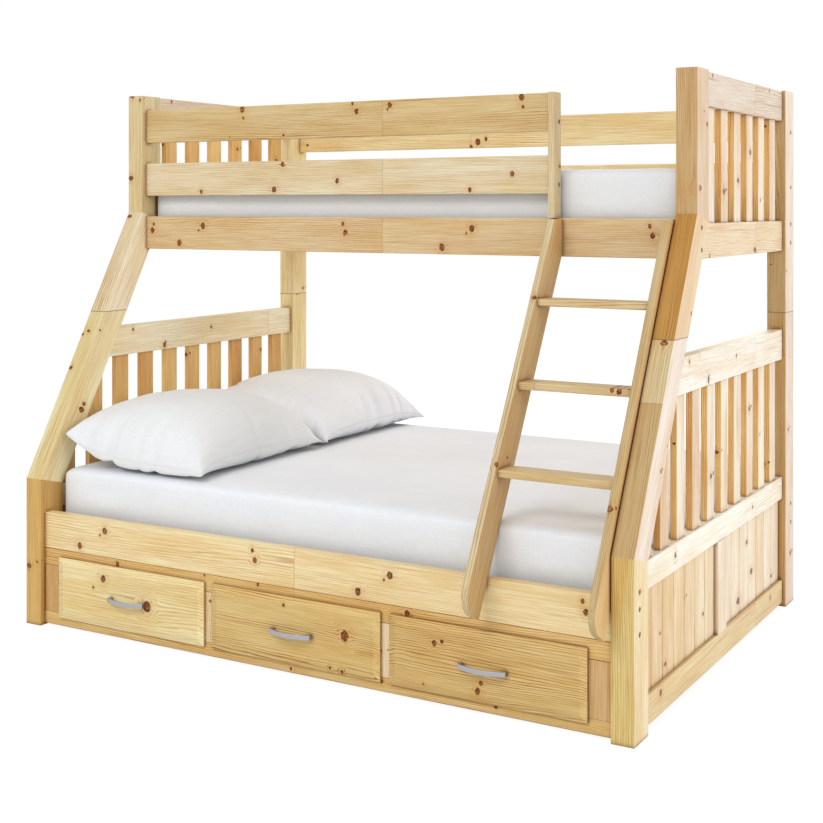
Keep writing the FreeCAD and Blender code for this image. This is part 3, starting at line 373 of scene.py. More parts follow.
def knots_at(w, place, order, lean, marks):
    """The masks of a board's large knots, each laid over those before it."""
    masks = {}
    for spot, radius, branch in marks:
        spot = Matrix.Rotation(lean, 3, "X") @ Vector(spot)
        knot = w.group(placed_knot, {
            "Position": place, "Radius": radius, "Centre": [spot["XYZ".index(axis)] for axis in order],
            "Flat": [float(axis != branch) for axis in order], **masks})
        masks = {mask: knot[mask] for mask in MASKS}
    return masks


def retoned(w, colour, where, pale, tone):
    """The colour with its pale tone changed to another one where the mask says so."""
    share = [there / here for there, here in zip(paint(*tone)[:3], paint(*pale)[:3])]
    return w.vector("MULTIPLY", colour, w.blend(where, (1, 1, 1, 1), (*share, 1)))


def pine(name, along, pale, deep=None, outer=None, inner=None, behind=None, lean=0.0, boards=None, line=0.8, knots=0.5,
         pieces=1.2, first_joint=None, seam=None, splice=None, bevel=0.0, grooves=0.0, marks=()):
    """Pine with its grain along an axis, or along a lean of that many radians from upright.

    pale and deep are the tones that a board drifts between. The outer tone is painted light and shade on the faces
    that look out at the bed's ends, the inner tone on those that look back at them, and behind is the tone of the
    backs. boards tells the boards of a row apart. line is the strength of the growth lines, knots the share of places
    with a small knot, pieces the length between joints, first_joint the share of a piece at which the first joint
    lies, seam the height of a joint in a post, splice a length of another tone: axis, start, end and tone. The bevel
    is painted light on the tilted faces of a front, lighter as they turn to the right and up, grooves half the width
    of the lines between the boards of a row, and marks its large knots: place, radius and the branch's axis.
    """
    material, w, skin = new_material(name)
    seen = w.add("ShaderNodeTexCoord").outputs
    place, facing = seen["Object"], w.split(seen["Normal"])
    spot = w.split(place)
    row = w.group(board_number, {"Position": place, **boards}) if boards else {}
    if lean:
        place = w.add("ShaderNodeMapping", {"Vector": place, "Rotation": (lean, 0.0, 0.0)}).outputs[0]
    axes, order = w.split(place), GRAIN_ORDER[along]
    turned = w.joined(**{socket: axes[axis] for socket, axis in zip("XYZ", order)})
    own = seeded(name) if first_joint is None else (*seeded(name)[:2], first_joint)
    grain = w.group(pine_grain, {
        "Position": turned, "Board": row["Board"] if boards else own, "Pale": paint(*pale),
        "Deep": paint(*(deep or shared(pale, DEEP_SHARES))), "Line": paint(*shared(pale, LINE_SHARES)),
        "Line strength": line, "Knot share": STRAY_KNOTS if marks else knots, "Piece length": pieces,
        **knots_at(w, turned, order, lean, marks)})
    colour = grain["Colour"]
    # Painted light: a front's tilted faces lighter as they turn to the right and up, darker as they turn the other way
    if bevel:
        tilt = w.plus(facing["X"], w.times(facing["Z"], BEVEL_UP))
        tilt = w.times(tilt, w.ramp(facing["Y"], *FACES_FRONT))
        colour = w.scaled(colour, w.plus(w.times(tilt, bevel), 1.0))
    # Painted light and shade: the faces that look out at the bed's ends and back at them take the outer and inner
    # tones, and the backs take the behind tone
    outward = w.times(facing["X"], w.math("SIGN", spot["X"]))
    for tone, turn, faces in (
            (outer, outward, FACES_OUT), (inner, outward, FACES_IN), (behind, facing["Y"], FACES_OUT)):
        if tone:
            colour = retoned(w, colour, w.ramp(turn, *faces), pale, tone)
    if splice:
        axis, start, end, tone = splice
        over = w.math("MINIMUM", w.math("SUBTRACT", spot[axis], start), w.math("SUBTRACT", end, spot[axis]))
        spliced = retoned(w, colour, w.math("GREATER_THAN", over, 0.0), pale, tone)
        edge = w.ramp(w.math("ABSOLUTE", over), *SPLICE_LINE)
        spliced = w.blend(w.times(edge, SPLICE_SHARE), spliced, JOINT_TONE)
        colour = w.blend(w.ramp(outward, *FACES_OUT), spliced, colour) if outer else spliced
    if seam:
        off = w.math("ABSOLUTE", w.math("SUBTRACT", spot["Z"], seam))
        colour = w.blend(w.times(w.ramp(off, *SEAM_LINE), SEAM_SHARE), colour, SEAM_TONE)
    if grooves:
        colour = w.blend(w.times(w.ramp(row["Edge"], grooves, grooves / 3), GROOVE_SHARE), colour, GROOVE_TONE)
    # Painted shade: the colour darkened towards the corner tone where other faces are near, in corners and between
    # parts
    shaded = w.times(w.ramp(w.crevice(CORNER_SHADE_REACH), *CORNER_SHADE_RANGE), CORNER_SHADE_SHARE)
    w.give(skin, {
        "Base Color": w.blend(shaded, colour, CORNER_SHADE_TONE, "MULTIPLY"), "Roughness": grain["Roughness"],
        "Normal": w.bump(grain["Height"], GRAIN_BUMP, GRAIN_DEPTH), **WOOD_SHINE})
    return material


def dress(name, material):
    """A CAD node takes a material on all its slots."""
    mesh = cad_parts[name].data
    mesh.materials.clear()
    mesh.materials.append(material)
    mesh.polygons.foreach_set("material_index", [0] * len(mesh.polygons))


def dress_in_pine(name, along, pale, **looks):
    """A CAD node takes pine of its own."""
    dress(name, pine("pine_" + name, along, pale, **looks))


FAR, ONE_CELL, ONE_PIECE, RAIL_PIECE = -50.0, 900.0, 9.0, 1.032
LEG_SLOPE = 0.5689
LEG_LEAN = math.atan(LEG_SLOPE)
DRAWERS = ("left", "middle", "right")
middle_y = sum(corner.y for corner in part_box("end_panel_stiles")) / 2
post_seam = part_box("back_post_lower_left")[1].z
leg_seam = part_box("front_leg_upper_left")[0].z


def front_marks(node, spots):
    """Knots of a board that faces the front: along the bed, up from its lower edge, radius, in millimetres."""
    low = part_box(node)[0]
    return [((x / 1000, low.y, low.z + z / 1000), radius / 1000, "Y") for x, z, radius in spots]


def end_marks(node, spots):
    """Knots of a board at the bed's ends: across the bed, up from the floor, radius, in millimetres."""
    x_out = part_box(node)[1].x
    return [((x_out, y / 1000, z / 1000), radius / 1000, "X") for y, z, radius in spots]


def leg_marks(spots):
    """Knots on the front of a slanted leg: along the bed, up from the floor, radius, in millimetres."""
    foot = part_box("front_leg_lower_left")[0]
    return [((x / 1000, foot.y + LEG_SLOPE * (z / 1000 - foot.z), z / 1000), radius / 1000, "Y")
            for x, z, radius in spots]


def row_of(**axes):
    """How the boards of a row are told apart: along each named axis, a start before the first and a step."""
    middle, step = zip(*(axes.get(axis, (FAR, ONE_CELL)) for axis in "xyz"))
    return {"Middle": middle, "Step": step}


# Planks with the grain along the bed
RAIL_KNOTS = [
    (x + shift, z, radius) for shift in (0, 1000 * RAIL_PIECE) for x, z, radius in (
        (-715, 81, 9), (-734, 66, 3.6), (-818, 22, 9.5), (-148, 91, 5.5), (-139, 64, 7.6))]
for name, pale, line, spots in (
    ("guard_front_upper", (210, 183, 128), 0.8, (
        (-548, 103, 9), (-544, 74, 4.5), (-97, 81, 7.5), (-112, 106, 4.5), (27, 96, 8), (19, 83, 4), (-380, 12, 4.5),
        (484, 103, 9), (488, 74, 4.5))),
    ("guard_front_lower", (223, 205, 165), 0.7, (
        (-722, 13, 6.5), (-418, 19, 8.8), (-170, 45, 7), (-383, 101, 7.5), (310, 13, 6.5), (452, 60, 7))),
    ("upper_front_rail", (219, 193, 147), 0.8, RAIL_KNOTS), ("lower_front_rail", (240, 218, 165), 0.5, RAIL_KNOTS),
    ("upper_back_rail", (222, 194, 142), 0.8, ()), ("lower_back_rail", (222, 194, 142), 0.8, ()),
    ("drawer_top_rail", (225, 188, 119), 0.9, ((-662, 36, 8), (-323, 48, 3), (-128, 47, 4.5), (372, 36, 8))),
    ("drawer_bottom_rail", (222, 190, 124), 0.9, ((-11, 12, 4.5), (640, 22, 5))),
    ("centre_beam", (222, 196, 148), 0.8, ()),
):
    dress_in_pine(
        name, "X", pale, line=line, pieces=RAIL_PIECE, first_joint=0.0, marks=front_marks(name, spots))
for name, pale, line, spots in (
    ("drawer_front_left", (236, 218, 163), 0.55, ((-710, 149, 9.5), (-751, 117, 3.6), (-534, 88, 14))),
    ("drawer_front_middle", (218, 188, 122), 1.6, ((-29, 166, 4.5), (178, 110, 13), (168, 8, 5), (128, 12, 4))),
    ("drawer_front_right", (214, 182, 117), 1.0, (
        (462, 135, 7), (485, 142, 5), (592, 30, 8), (602, 52, 6), (428, 20, 3))),
    ("drawer_back_board", (222, 198, 154), 0.8, ()),
):
    dress_in_pine(name, "X", pale, line=line, pieces=ONE_PIECE, bevel=0.45, marks=front_marks(name, spots))

# Posts and legs, each half with its own tone; their outer tones, and the inner tones of the left legs, are painted
# light on the faces that look out at the ends and back at them
for name, pale, outer, spots in (
    ("front_foot_left", (212, 171, 100), (226, 190, 130), ()),
    ("front_foot_right", (222, 201, 135), (246, 233, 195), ((-662, 377, 6.6),)),
    ("front_head_post_left", (222, 208, 166), (240, 220, 180), ()),
    ("front_head_post_right", (200, 168, 118), (228, 206, 175), ((-133, 1565, 6), (-194, 1385, 9), (-160, 1600, 3))),
):
    dress_in_pine(name, "Z", pale, outer=outer, pieces=ONE_PIECE, marks=end_marks(name, spots))
dress_in_pine("guard_post", "Z", (215, 194, 148), pieces=ONE_PIECE)
dress("post_dowels", pine("beech_dowels", "Z", (214, 184, 134), knots=0.0, pieces=ONE_PIECE))
# The left back posts are painted much paler, as painted light on their front and inner faces; their backs keep the
# plain tone
for name, pale, outer in (
    ("back_post_lower_left", (252, 235, 178), (239, 222, 200)),
    ("back_post_upper_left", (248, 228, 172), (239, 222, 200)),
    ("back_post_lower_right", (214, 182, 130), (239, 222, 206)),
    ("back_post_upper_right", (208, 176, 124), (239, 222, 200)),
):
    dress_in_pine(name, "Z", pale, outer=outer, behind=(214, 186, 134), seam=post_seam, pieces=ONE_PIECE)
for name, pale, outer, inner, front_spots, side_spots, splice in (
    ("front_leg_lower_left", (226, 215, 163), (240, 220, 182), (250, 237, 190),
     ((-1021, 793, 6.5), (-1026, 899, 5), (-1004, 910, 5.5)), ((-427, 919, 4), (-516, 664, 10), (-504, 682, 7)), None),
    ("front_leg_upper_left", (221, 206, 171), (238, 216, 174), (254, 241, 207), ((-1017, 1293, 7.5),), (), None),
    ("front_leg_lower_right", (191, 162, 108), (244, 231, 214), None, (), ((-510, 650, 5), (-500, 655, 4)),
     ("Z", 0.822, 2.0, (208, 190, 144))),
    ("front_leg_upper_right", (185, 139, 67), (237, 211, 172), None, (), ((-271, 1042, 5.6),), None),
):
    dress_in_pine(
        name, "Z", pale, outer=outer, inner=inner, lean=LEG_LEAN, seam=leg_seam, splice=splice, pieces=ONE_PIECE,
        knots=0.4, marks=leg_marks(front_spots) + end_marks(name, side_spots))
# The left stile's outer face, which looks at the right stile, is painted darker as painted shade, and the right
# stile's outer face paler as painted light
for name, pale, outer in (
    ("ladder_stile_left", (206, 185, 138), (209, 174, 118)), ("ladder_stile_right", (195, 170, 119), (224, 189, 133)),
):
    dress_in_pine(name, "Z", pale, outer=outer, lean=LEG_LEAN, pieces=ONE_PIECE)

# The two end frames; much of their tone is painted light: the rails and panel boards are painted pale for the light
# that falls on the bed's ends, and the lower top rails palest, for the left end's inner faces where less light reaches
LEFT_OR_RIGHT = (0.0, 9.0)
SLAT_PITCH, SLAT_WIDTH, PANEL_MARGIN, PANEL_BOARDS = 0.1294, 0.064, 0.039, 7
for name, pale, outer, spots in (
    ("upper_end_top_rails", (223, 204, 178), None, ((-45, 1711, 5), (541, 1709, 4.2))),
    ("upper_end_bottom_rails", (234, 209, 168), None, ((383, 1197, 7), (-74, 1192, 5))),
    ("lower_end_top_rails", (255, 243, 207), (249, 238, 217), (
        (-84, 840, 8), (-78, 850, 4), (-250, 908, 4.8), (183, 884, 5))),
    ("end_mid_rails", (250, 241, 218), None, ((-365, 402, 7), (352, 396, 5.5))),
    ("end_bottom_rails", (231, 205, 150), None, ((551, 64, 7), (-479, 68, 8))),
):
    dress_in_pine(
        name, "Y", pale, outer=outer, line=0.55, boards=row_of(x=LEFT_OR_RIGHT), marks=end_marks(name, spots))
slat_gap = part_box("lower_end_slats")[1].y - SLAT_WIDTH + (SLAT_PITCH + SLAT_WIDTH) / 2
for name in ("upper_end_slats", "lower_end_slats"):
    dress_in_pine(
        name, "Z", (238, 194, 121), deep=(215, 154, 82), outer=(246, 232, 203), pieces=ONE_PIECE,
        boards=row_of(x=LEFT_OR_RIGHT, y=(slat_gap - 40 * SLAT_PITCH, SLAT_PITCH)))
panel_pitch = (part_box("end_panel_stiles")[0].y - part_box("end_bottom_rails")[0].y) / PANEL_BOARDS
dress_in_pine(
    "end_panel_boards", "Z", (247, 230, 199), deep=(229, 192, 139), pieces=ONE_PIECE, grooves=0.0022,
    splice=("Y", -2.0, middle_y, (243, 223, 182)),
    marks=end_marks("end_panel_boards", (
        (335, 288, 7), (383, 186, 10), (610, 120, 6.5), (243, 128, 12), (-446, 213, 4), (-407, 121, 7))),
    boards={"Start": (0.0, PANEL_MARGIN, 0.0), **row_of(x=LEFT_OR_RIGHT, y=(middle_y, panel_pitch))})
dress_in_pine("end_panel_stiles", "Z", (244, 226, 196), boards=row_of(x=LEFT_OR_RIGHT), pieces=ONE_PIECE)

# Rows of like boards, each with a tone of its own
GUARD_PITCH, GUARD_GAP, RUNG_PITCH = 0.1845, 0.15, 0.22
UPPER_SLAT_PITCH, LOWER_SLAT_PITCH = 0.1508, 0.1392
guard_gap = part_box("guard_back_rails")[0].z + GUARD_GAP
# The guard's back rails are painted pale, as painted light on their shaded front faces; their backs keep the plain
# tone
dress_in_pine(
    "guard_back_rails", "X", (239, 218, 164), behind=(216, 190, 140),
    marks=front_marks("guard_back_rails", ((-147, 207, 11), (-177, 189, 7), (-113, 218, 7))),
    boards=row_of(z=(guard_gap - 10 * GUARD_PITCH, GUARD_PITCH)))
dress_in_pine(
    "ladder_rungs", "X", (215, 190, 138), marks=front_marks("ladder_rungs", ((891, 237, 6), (911, 233, 7))),
    boards=row_of(z=(-5.0, RUNG_PITCH)))
dress_in_pine(
    "drawer_stiles", "Z", (213, 177, 121), splice=("X", -0.6, 0.6, (244, 226, 184)), boards=row_of(x=(0.0, 0.5)))
for name, along, pale, boards in (
    ("upper_bed_slats", "Y", (226, 202, 158), row_of(x=(-10.0 * UPPER_SLAT_PITCH, UPPER_SLAT_PITCH))),
    ("lower_bed_slats", "Y", (226, 202, 158), row_of(x=(-10.0 * LOWER_SLAT_PITCH, LOWER_SLAT_PITCH))),
    ("slat_cleats", "X", (226, 202, 158), row_of(y=(0.0, 0.4), z=(0.0, 0.5))),
    ("drawer_partitions", "Y", (224, 200, 156), row_of(x=(0.0, 0.5))),
    ("drawer_runners", "Y", (224, 200, 156), row_of(x=(0.0, 0.3))),
):
    dress_in_pine(name, along, pale, boards=boards)
for drawer in DRAWERS:
    dress_in_pine("drawer_box_" + drawer, "Y", (228, 206, 164), knots=0.3)


# Metal
METAL_SHADE, METAL_SPREAD, METAL_BUMP, METAL_DEPTH = (0.86, 0.86, 0.86), 0.07, 0.08, 0.0003


def metal(name, colour, roughness, brushed):
    """Metal with a brushed or tumbled finish."""
    material, w, skin = new_material(name)
    streaks = w.noise(w.add("ShaderNodeTexCoord").outputs["Object"], brushed, 3.0, 0.6)[0]
    w.give(skin, {
        "Base Color": w.blend(streaks, paint(*colour), paint(*shared(colour, METAL_SHADE))),
        "Roughness": w.ramp(streaks, 0.2, 0.8, roughness - METAL_SPREAD, roughness + METAL_SPREAD),
        "Normal": w.bump(streaks, METAL_BUMP, METAL_DEPTH), "Metallic": 1.0})
    return material


satin = metal("satin_handle", (188, 188, 192), 0.40, (60.0, 1800.0, 1800.0))
zinc = metal("zinc_bolt", (186, 184, 178), 0.40, (900.0, 900.0, 900.0))
for drawer in DRAWERS:
    dress("drawer_handle_" + drawer, satin)
dress("barrel_nuts", zinc)


def add_piece(name, mesh, slot, *nodes):
    """A finished piece on the frame, and the CAD nodes that it stands for."""
    piece = bpy.data.objects.new(name, mesh)
    scene.collection.objects.link(piece)
    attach(piece, "frame")
    if nodes:
        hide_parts(*nodes)
    return piece


def plain_copy(piece):
    """The mesh of a piece with what its modifiers do to it."""
    return bpy.data.meshes.new_from_object(piece.evaluated_get(bpy.context.evaluated_depsgraph_get()))


# Bolts: hexagon sockets in the heads, set where the rails meet the posts
HEAD_RADIUS, HEAD_HEIGHT, HEAD_SIDES, CHAMFER = 0.0065, 0.004, 24, 0.0006
SOCKET_WIDTH, SOCKET_DEPTH, SINK, SHANK_RADIUS = 0.006, 0.0026, 0.005, 0.003
RAIL_BOLT, POST_BOLT, LADDER_BOLT = 0.106, 0.063, 0.061
RAIL_BOLT_STEP, LADDER_BOLT_STEP, GUARD_BOLT_RISE = 0.0313, 0.01565, 0.027


def bolt_head():
    """A cap head standing on its seat, with a chamfered rim and a hexagon socket."""
    form = bmesh.new()

    def ring(reach, height, flats=False):
        made = []
        for number in range(HEAD_SIDES):
            angle = 2 * math.pi * number / HEAD_SIDES
            turn = (angle + math.pi / 6) % (math.pi / 3) - math.pi / 6
            span = SOCKET_WIDTH / 2 / math.cos(turn) if flats else reach
            made.append(form.verts.new((span * math.cos(angle), span * math.sin(angle), height)))
        return made

    rings = [
        ring(HEAD_RADIUS, 0.0), ring(HEAD_RADIUS, HEAD_HEIGHT - CHAMFER), ring(HEAD_RADIUS - CHAMFER, HEAD_HEIGHT),
        ring(0.0, HEAD_HEIGHT, True), ring(0.0, HEAD_HEIGHT - SOCKET_DEPTH, True)]
    for lower, upper in zip(rings, rings[1:]):
        for number in range(HEAD_SIDES):
            after = (number + 1) % HEAD_SIDES
            form.faces.new((lower[number], lower[after], upper[after], upper[number]))
    form.faces.new(rings[-1])
    form.faces.new(rings[0][::-1])
    mesh = bpy.data.meshes.new("bolt_head")
    form.to_mesh(mesh)
    form.free()
    return bpy.data.objects.new("bolt_head", mesh)


def bolt_places():
    """Seat, outward direction and shank length of each bolt."""
    end_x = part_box("front_foot_right")[1].x
    found = []

    def middle(node):
        low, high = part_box(node)
        return (low + high) / 2

    def add(seat, way, length):
        found.append((Vector(seat) - SINK * Vector(way), Vector(way), length))

    for rail in ("lower_front_rail", "lower_back_rail", "upper_front_rail", "upper_back_rail"):
        spot = middle(rail)
        for side in (-1, 1):
            for step in (-RAIL_BOLT_STEP, RAIL_BOLT_STEP):
                add((side * end_x, spot.y, spot.z + step), (side, 0, 0), RAIL_BOLT)
    back_y = middle("guard_back_rails").y
    post_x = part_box("guard_post")[1].x
    for guard in ("guard_front_lower", "guard_front_upper"):
        y, z = middle(guard).y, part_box(guard)[0].z + GUARD_BOLT_RISE
        add((-end_x, y, z), (-1, 0, 0), RAIL_BOLT)
        add((post_x, y, z), (1, 0, 0), POST_BOLT)
        for side in (-1, 1):
            add((side * end_x, back_y, z), (side, 0, 0), RAIL_BOLT)
    rail_y, rail_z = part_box("upper_front_rail")[1].y, middle("upper_front_rail").z
    for side in ("left", "right"):
        for step in (-LADDER_BOLT_STEP, LADDER_BOLT_STEP):
            add((middle("ladder_stile_" + side).x, rail_y, rail_z + step), (0, 1, 0), LADDER_BOLT)
    return found


def new_form(name, inputs):
    """An empty geometry tree with its named inputs, its wiring, its given values and its end."""
    tree = bpy.data.node_groups.new(name, "GeometryNodeTree")
    tree.interface.new_socket(name="Geometry", in_out="INPUT", socket_type="NodeSocketGeometry")
    for socket, kind in inputs.items():
        tree.interface.new_socket(name=socket, in_out="INPUT", socket_type="NodeSocket" + kind)
    tree.interface.new_socket(name="Geometry", in_out="OUTPUT", socket_type="NodeSocketGeometry")
    wiring = Wiring(tree)
    return tree, wiring, wiring.add("NodeGroupInput").outputs, wiring.add("NodeGroupOutput").inputs


def finish_form(w, end, parts, material):
    """The parts joined as plain faces in one material."""
    joined = w.add("GeometryNodeJoinGeometry")
    for part in parts:
        w.feed(joined.inputs[0], part)
    plain = w.add("GeometryNodeRealizeInstances", {0: joined.outputs[0]}).outputs[0]
    w.feed(end["Geometry"], w.add("GeometryNodeSetMaterial", {"Geometry": plain, "Material": material}).outputs[0])


def bolt_form():
    """A head and a shank on each seat, turned the way it faces."""
    tree, w, given, end = new_form("bolts_in_posts", {"Head": "Object", "Shank": "Float", "Finish": "Material"})
    way = w.add("GeometryNodeInputNamedAttribute", {"Name": "way"}, data_type="FLOAT_VECTOR").outputs["Attribute"]
    length = w.add("GeometryNodeInputNamedAttribute", {"Name": "length"}, data_type="FLOAT").outputs["Attribute"]
    turn = w.add("FunctionNodeAlignRotationToVector", {"Vector": way}, axis="Z").outputs[0]
    head = w.add("GeometryNodeObjectInfo", {"Object": given["Head"]}).outputs["Geometry"]
    heads = w.add("GeometryNodeInstanceOnPoints", {
        "Points": given["Geometry"], "Instance": head, "Rotation": turn}).outputs[0]
    rod = w.add("GeometryNodeMeshCylinder", {"Vertices": 12, "Radius": given["Shank"], "Depth": 1.0}).outputs["Mesh"]
    below = w.add("GeometryNodeTransform", {"Geometry": rod, "Translation": (0.0, 0.0, -0.5)}).outputs[0]
    shanks = w.add("GeometryNodeInstanceOnPoints", {
        "Points": given["Geometry"], "Instance": below, "Rotation": turn,
        "Scale": w.joined(X=1.0, Y=1.0, Z=length)}).outputs[0]
    finish_form(w, end, (heads, shanks), given["Finish"])
    return tree


def grown(name, points, form, values, attributes=()):
    """The plain mesh that a geometry tree grows on a carrier mesh."""
    carrier = bpy.data.objects.new(name + "_carrier", points)
    scene.collection.objects.link(carrier)
    for label, kind, data in attributes:
        layer = points.attributes.new(label, kind, "POINT")
        layer.data.foreach_set("vector" if kind == "FLOAT_VECTOR" else "value", data)
    growth = carrier.modifiers.new("growth", "NODES")
    growth.node_group = form
    for item in form.interface.items_tree:
        if item.item_type == "SOCKET" and item.in_out == "INPUT" and item.name in values:
            growth[item.identifier] = values[item.name]
    mesh = plain_copy(carrier)
    mesh.name = name
    carrier.modifiers.clear()
    bpy.data.objects.remove(carrier)
    return mesh


head = bolt_head()
seat_spots, ways, lengths = zip(*bolt_places())
seats = bpy.data.meshes.new("bolt_seats")
seats.from_pydata(seat_spots, [], [])
add_piece("bolt_set", grown(
    "bolt_set", seats, bolt_form(), {"Head": head, "Shank": SHANK_RADIUS, "Finish": zinc},
    (("way", "FLOAT_VECTOR", [axis for way in ways for axis in way]), ("length", "FLOAT", lengths)),
), "bolt_steel", "frame_bolts")
bpy.data.objects.remove(head)


# Cotton for the mattress covers and the pillow cases
SLUBS_ALONG, SLUBS_ACROSS, SLUB_RANGE, UNEVEN_WAVES = (12.0, 260.0, 260.0), (260.0, 12.0, 60.0), (0.6, 1.4), 5.0
FOLD_WAVES, FOLD_DEPTH, HOLLOW_SHADE_REACH, HOLLOW_SHADE_RANGE = 16.0, 0.006, 0.10, (0.15, 0.85)
WEAVE_BUMP, WEAVE_DEPTH = 0.25, 0.0003
COTTON_SHEEN = {"Specular IOR Level": 0.2, "Sheen Weight": 0.12, "Sheen Roughness": 0.5}


def cotton_weave_group():
    """Plain cotton: crossing threads, slubs along them and a soft unevenness."""
    tree, w, given, end = new_group("cotton_weave", {
        "Position": ("vector", NOWHERE), "Colour": ("colour", paint(236, 235, 233)), "Thread": ("value", 0.0011),
    }, {"Colour": "colour", "Roughness": "value", "Height": "value"})
    turn = w.math("DIVIDE", 2 * math.pi, given["Thread"])
    wave = w.split(w.vector("SINE", w.scaled(given["Position"], turn)))
    first = w.times(wave["X"], w.plus(wave["Y"], wave["Z"]))
    weave = w.plus(first, w.times(wave["Y"], wave["Z"]))
    slub = w.plus(w.noise(given["Position"], SLUBS_ALONG)[0], w.noise(given["Position"], SLUBS_ACROSS)[0])
    uneven = w.noise(given["Position"], UNEVEN_WAVES)[0]
    level = w.plus(w.ramp(slub, *SLUB_RANGE, 0.965, 1.025), w.ramp(uneven, 0.3, 0.7, -0.012, 0.012))
    w.feed(end["Colour"], w.scaled(given["Colour"], w.plus(level, w.times(weave, 0.012))))
    w.feed(end["Roughness"], w.ramp(slub, *SLUB_RANGE, 0.82, 0.94))
    w.feed(end["Height"], w.plus(w.times(weave, 0.22), w.times(slub, 0.8)))
    return tree


cotton_weave = cotton_weave_group()


def cotton(name, colour, crease, shade=0.80):
    """Cotton with soft folds of some strength, and painted shade in its hollows: shade is how dark its colour is
    painted where other faces are near.
    """
    material, w, skin = new_material(name)
    place = w.add("ShaderNodeTexCoord").outputs["Object"]
    cloth = w.group(cotton_weave, {"Position": place, "Colour": paint(*colour)})
    soft = w.bump(w.noise(place, FOLD_WAVES, 3.0, 0.55)[0], crease, FOLD_DEPTH)
    # Painted shade: the colour darkened where other faces are near, down to the shade level
    w.give(skin, {
        "Base Color": w.scaled(cloth["Colour"], w.ramp(w.crevice(HOLLOW_SHADE_REACH), *HOLLOW_SHADE_RANGE, shade, 1.0)),
        "Roughness": cloth["Roughness"], "Normal": w.bump(cloth["Height"], WEAVE_BUMP, WEAVE_DEPTH, Normal=soft),
        **COTTON_SHEEN})
    return material


# The lower cover and the back pillow are tinted cooler, as painted light against the warm light that the wood throws
# back onto them; the back pillow's cotton also has deeper painted shade, where it lies by the front pillow
lower_cotton = cotton("lower_mattress_cotton", (236, 239, 244), 0.10)
upper_cotton = cotton("upper_mattress_cotton", (229, 231, 233), 0.10)
front_case = cotton("front_pillow_cotton", (233, 235, 237), 0.16, 0.86)
back_case = cotton("back_pillow_cotton", (240, 242, 247), 0.16, 0.60)
thread = cotton("pillow_thread", (226, 226, 226), 0.0)


def settle(name, mesh, frames, pressure, bending, tension):
    """Cloth blown up from inside: the stretched points, in the mesh's own order."""
    piece = bpy.data.objects.new(name, mesh)
    scene.collection.objects.link(piece)
    cloth = piece.modifiers.new("stuffing", "CLOTH")
    cloth.settings.quality = 6
    cloth.settings.mass = 0.25
    cloth.settings.tension_stiffness = cloth.settings.compression_stiffness = tension
    cloth.settings.shear_stiffness = tension / 2
    cloth.settings.bending_stiffness = bending
    cloth.settings.air_damping = 3
    cloth.settings.use_pressure = True
    cloth.settings.uniform_pressure_force = pressure
    cloth.settings.effector_weights.gravity = 0
    cloth.collision_settings.use_collision = False
    for number in range(1, frames + 1):
        scene.frame_set(number)
    points = [point.co.copy() for point in plain_copy(piece).vertices]
    piece.modifiers.clear()
    bpy.data.objects.remove(piece)
    scene.frame_set(1)
    return points


def fine_mesh(mesh, cloth):
    """One level of subdivision, made plain and smooth, in its cloth."""
    carrier = bpy.data.objects.new("carrier", mesh)
    scene.collection.objects.link(carrier)
    finer = carrier.modifiers.new("finer", "SUBSURF")
    finer.levels = finer.render_levels = 1
    plain = plain_copy(carrier)
    bpy.data.objects.remove(carrier)
    plain.polygons.foreach_set("use_smooth", [True] * len(plain.polygons))
    plain.materials.clear()
    plain.materials.append(cloth)
    return plain


def within(spot, low, high):
    """A spot moved into a box."""
    return Vector([min(max(at, a), b) for at, a, b in zip(spot, low, high)])


# Mattresses
CELL, CROWN, SWELL = 0.023, 0.008, 0.003
ROUNDING = Vector((0.012, 0.012, 0.04))
INSET_LOW, INSET_HIGH = Vector((0.001, 0.001, 0.0005)), Vector((0.001, 0.001, CROWN + 0.001))
SIDE_PULL, SIDE_FROM, SIDE_BAND, SIDE_WAVES = 0.0022, 0.95, (0.04, 0.96), (5.5, 5.5, 1.3)
TOP_WAVE, TOP_FROM, TOP_WAVES, MATTRESS_FILL = 0.0016, 0.9, (3.1, 3.7), 0.85


def block_mesh(low, high):
    """A box of small faces, with no point shared wrongly and all faces outward."""
    counts = [max(4, round((b - a) / CELL)) for a, b in zip(low, high)]
    form = bmesh.new()
    points = {}

    def point(spot):
        if spot not in points:
            points[spot] = form.verts.new([
                a + (b - a) * step / count for a, b, step, count in zip(low, high, spot, counts)])
        return points[spot]

    for axis in range(3):
        first, second = (axis + 1) % 3, (axis + 2) % 3
        for level in (0, counts[axis]):
            for i in range(counts[first]):
                for j in range(counts[second]):
                    corners = []
                    for di, dj in ((0, 0), (1, 0), (1, 1), (0, 1)):
                        spot = [0, 0, 0]
                        spot[axis], spot[first], spot[second] = level, i + di, j + dj
                        corners.append(point(tuple(spot)))
                    form.faces.new(corners if level else corners[::-1])
    mesh = bpy.data.meshes.new("mattress_block")
    form.to_mesh(mesh)
    form.free()
    return mesh


def ease(spot, low, high):
    """A point of the box moved onto the box with rounded edges."""
    core = within(spot, low + ROUNDING, high - ROUNDING)
    out = spot - core
    shares = Vector([part / edge for part, edge in zip(out, ROUNDING)])
    return core + out * (max(abs(share) for share in shares) / shares.length) if shares.length else spot


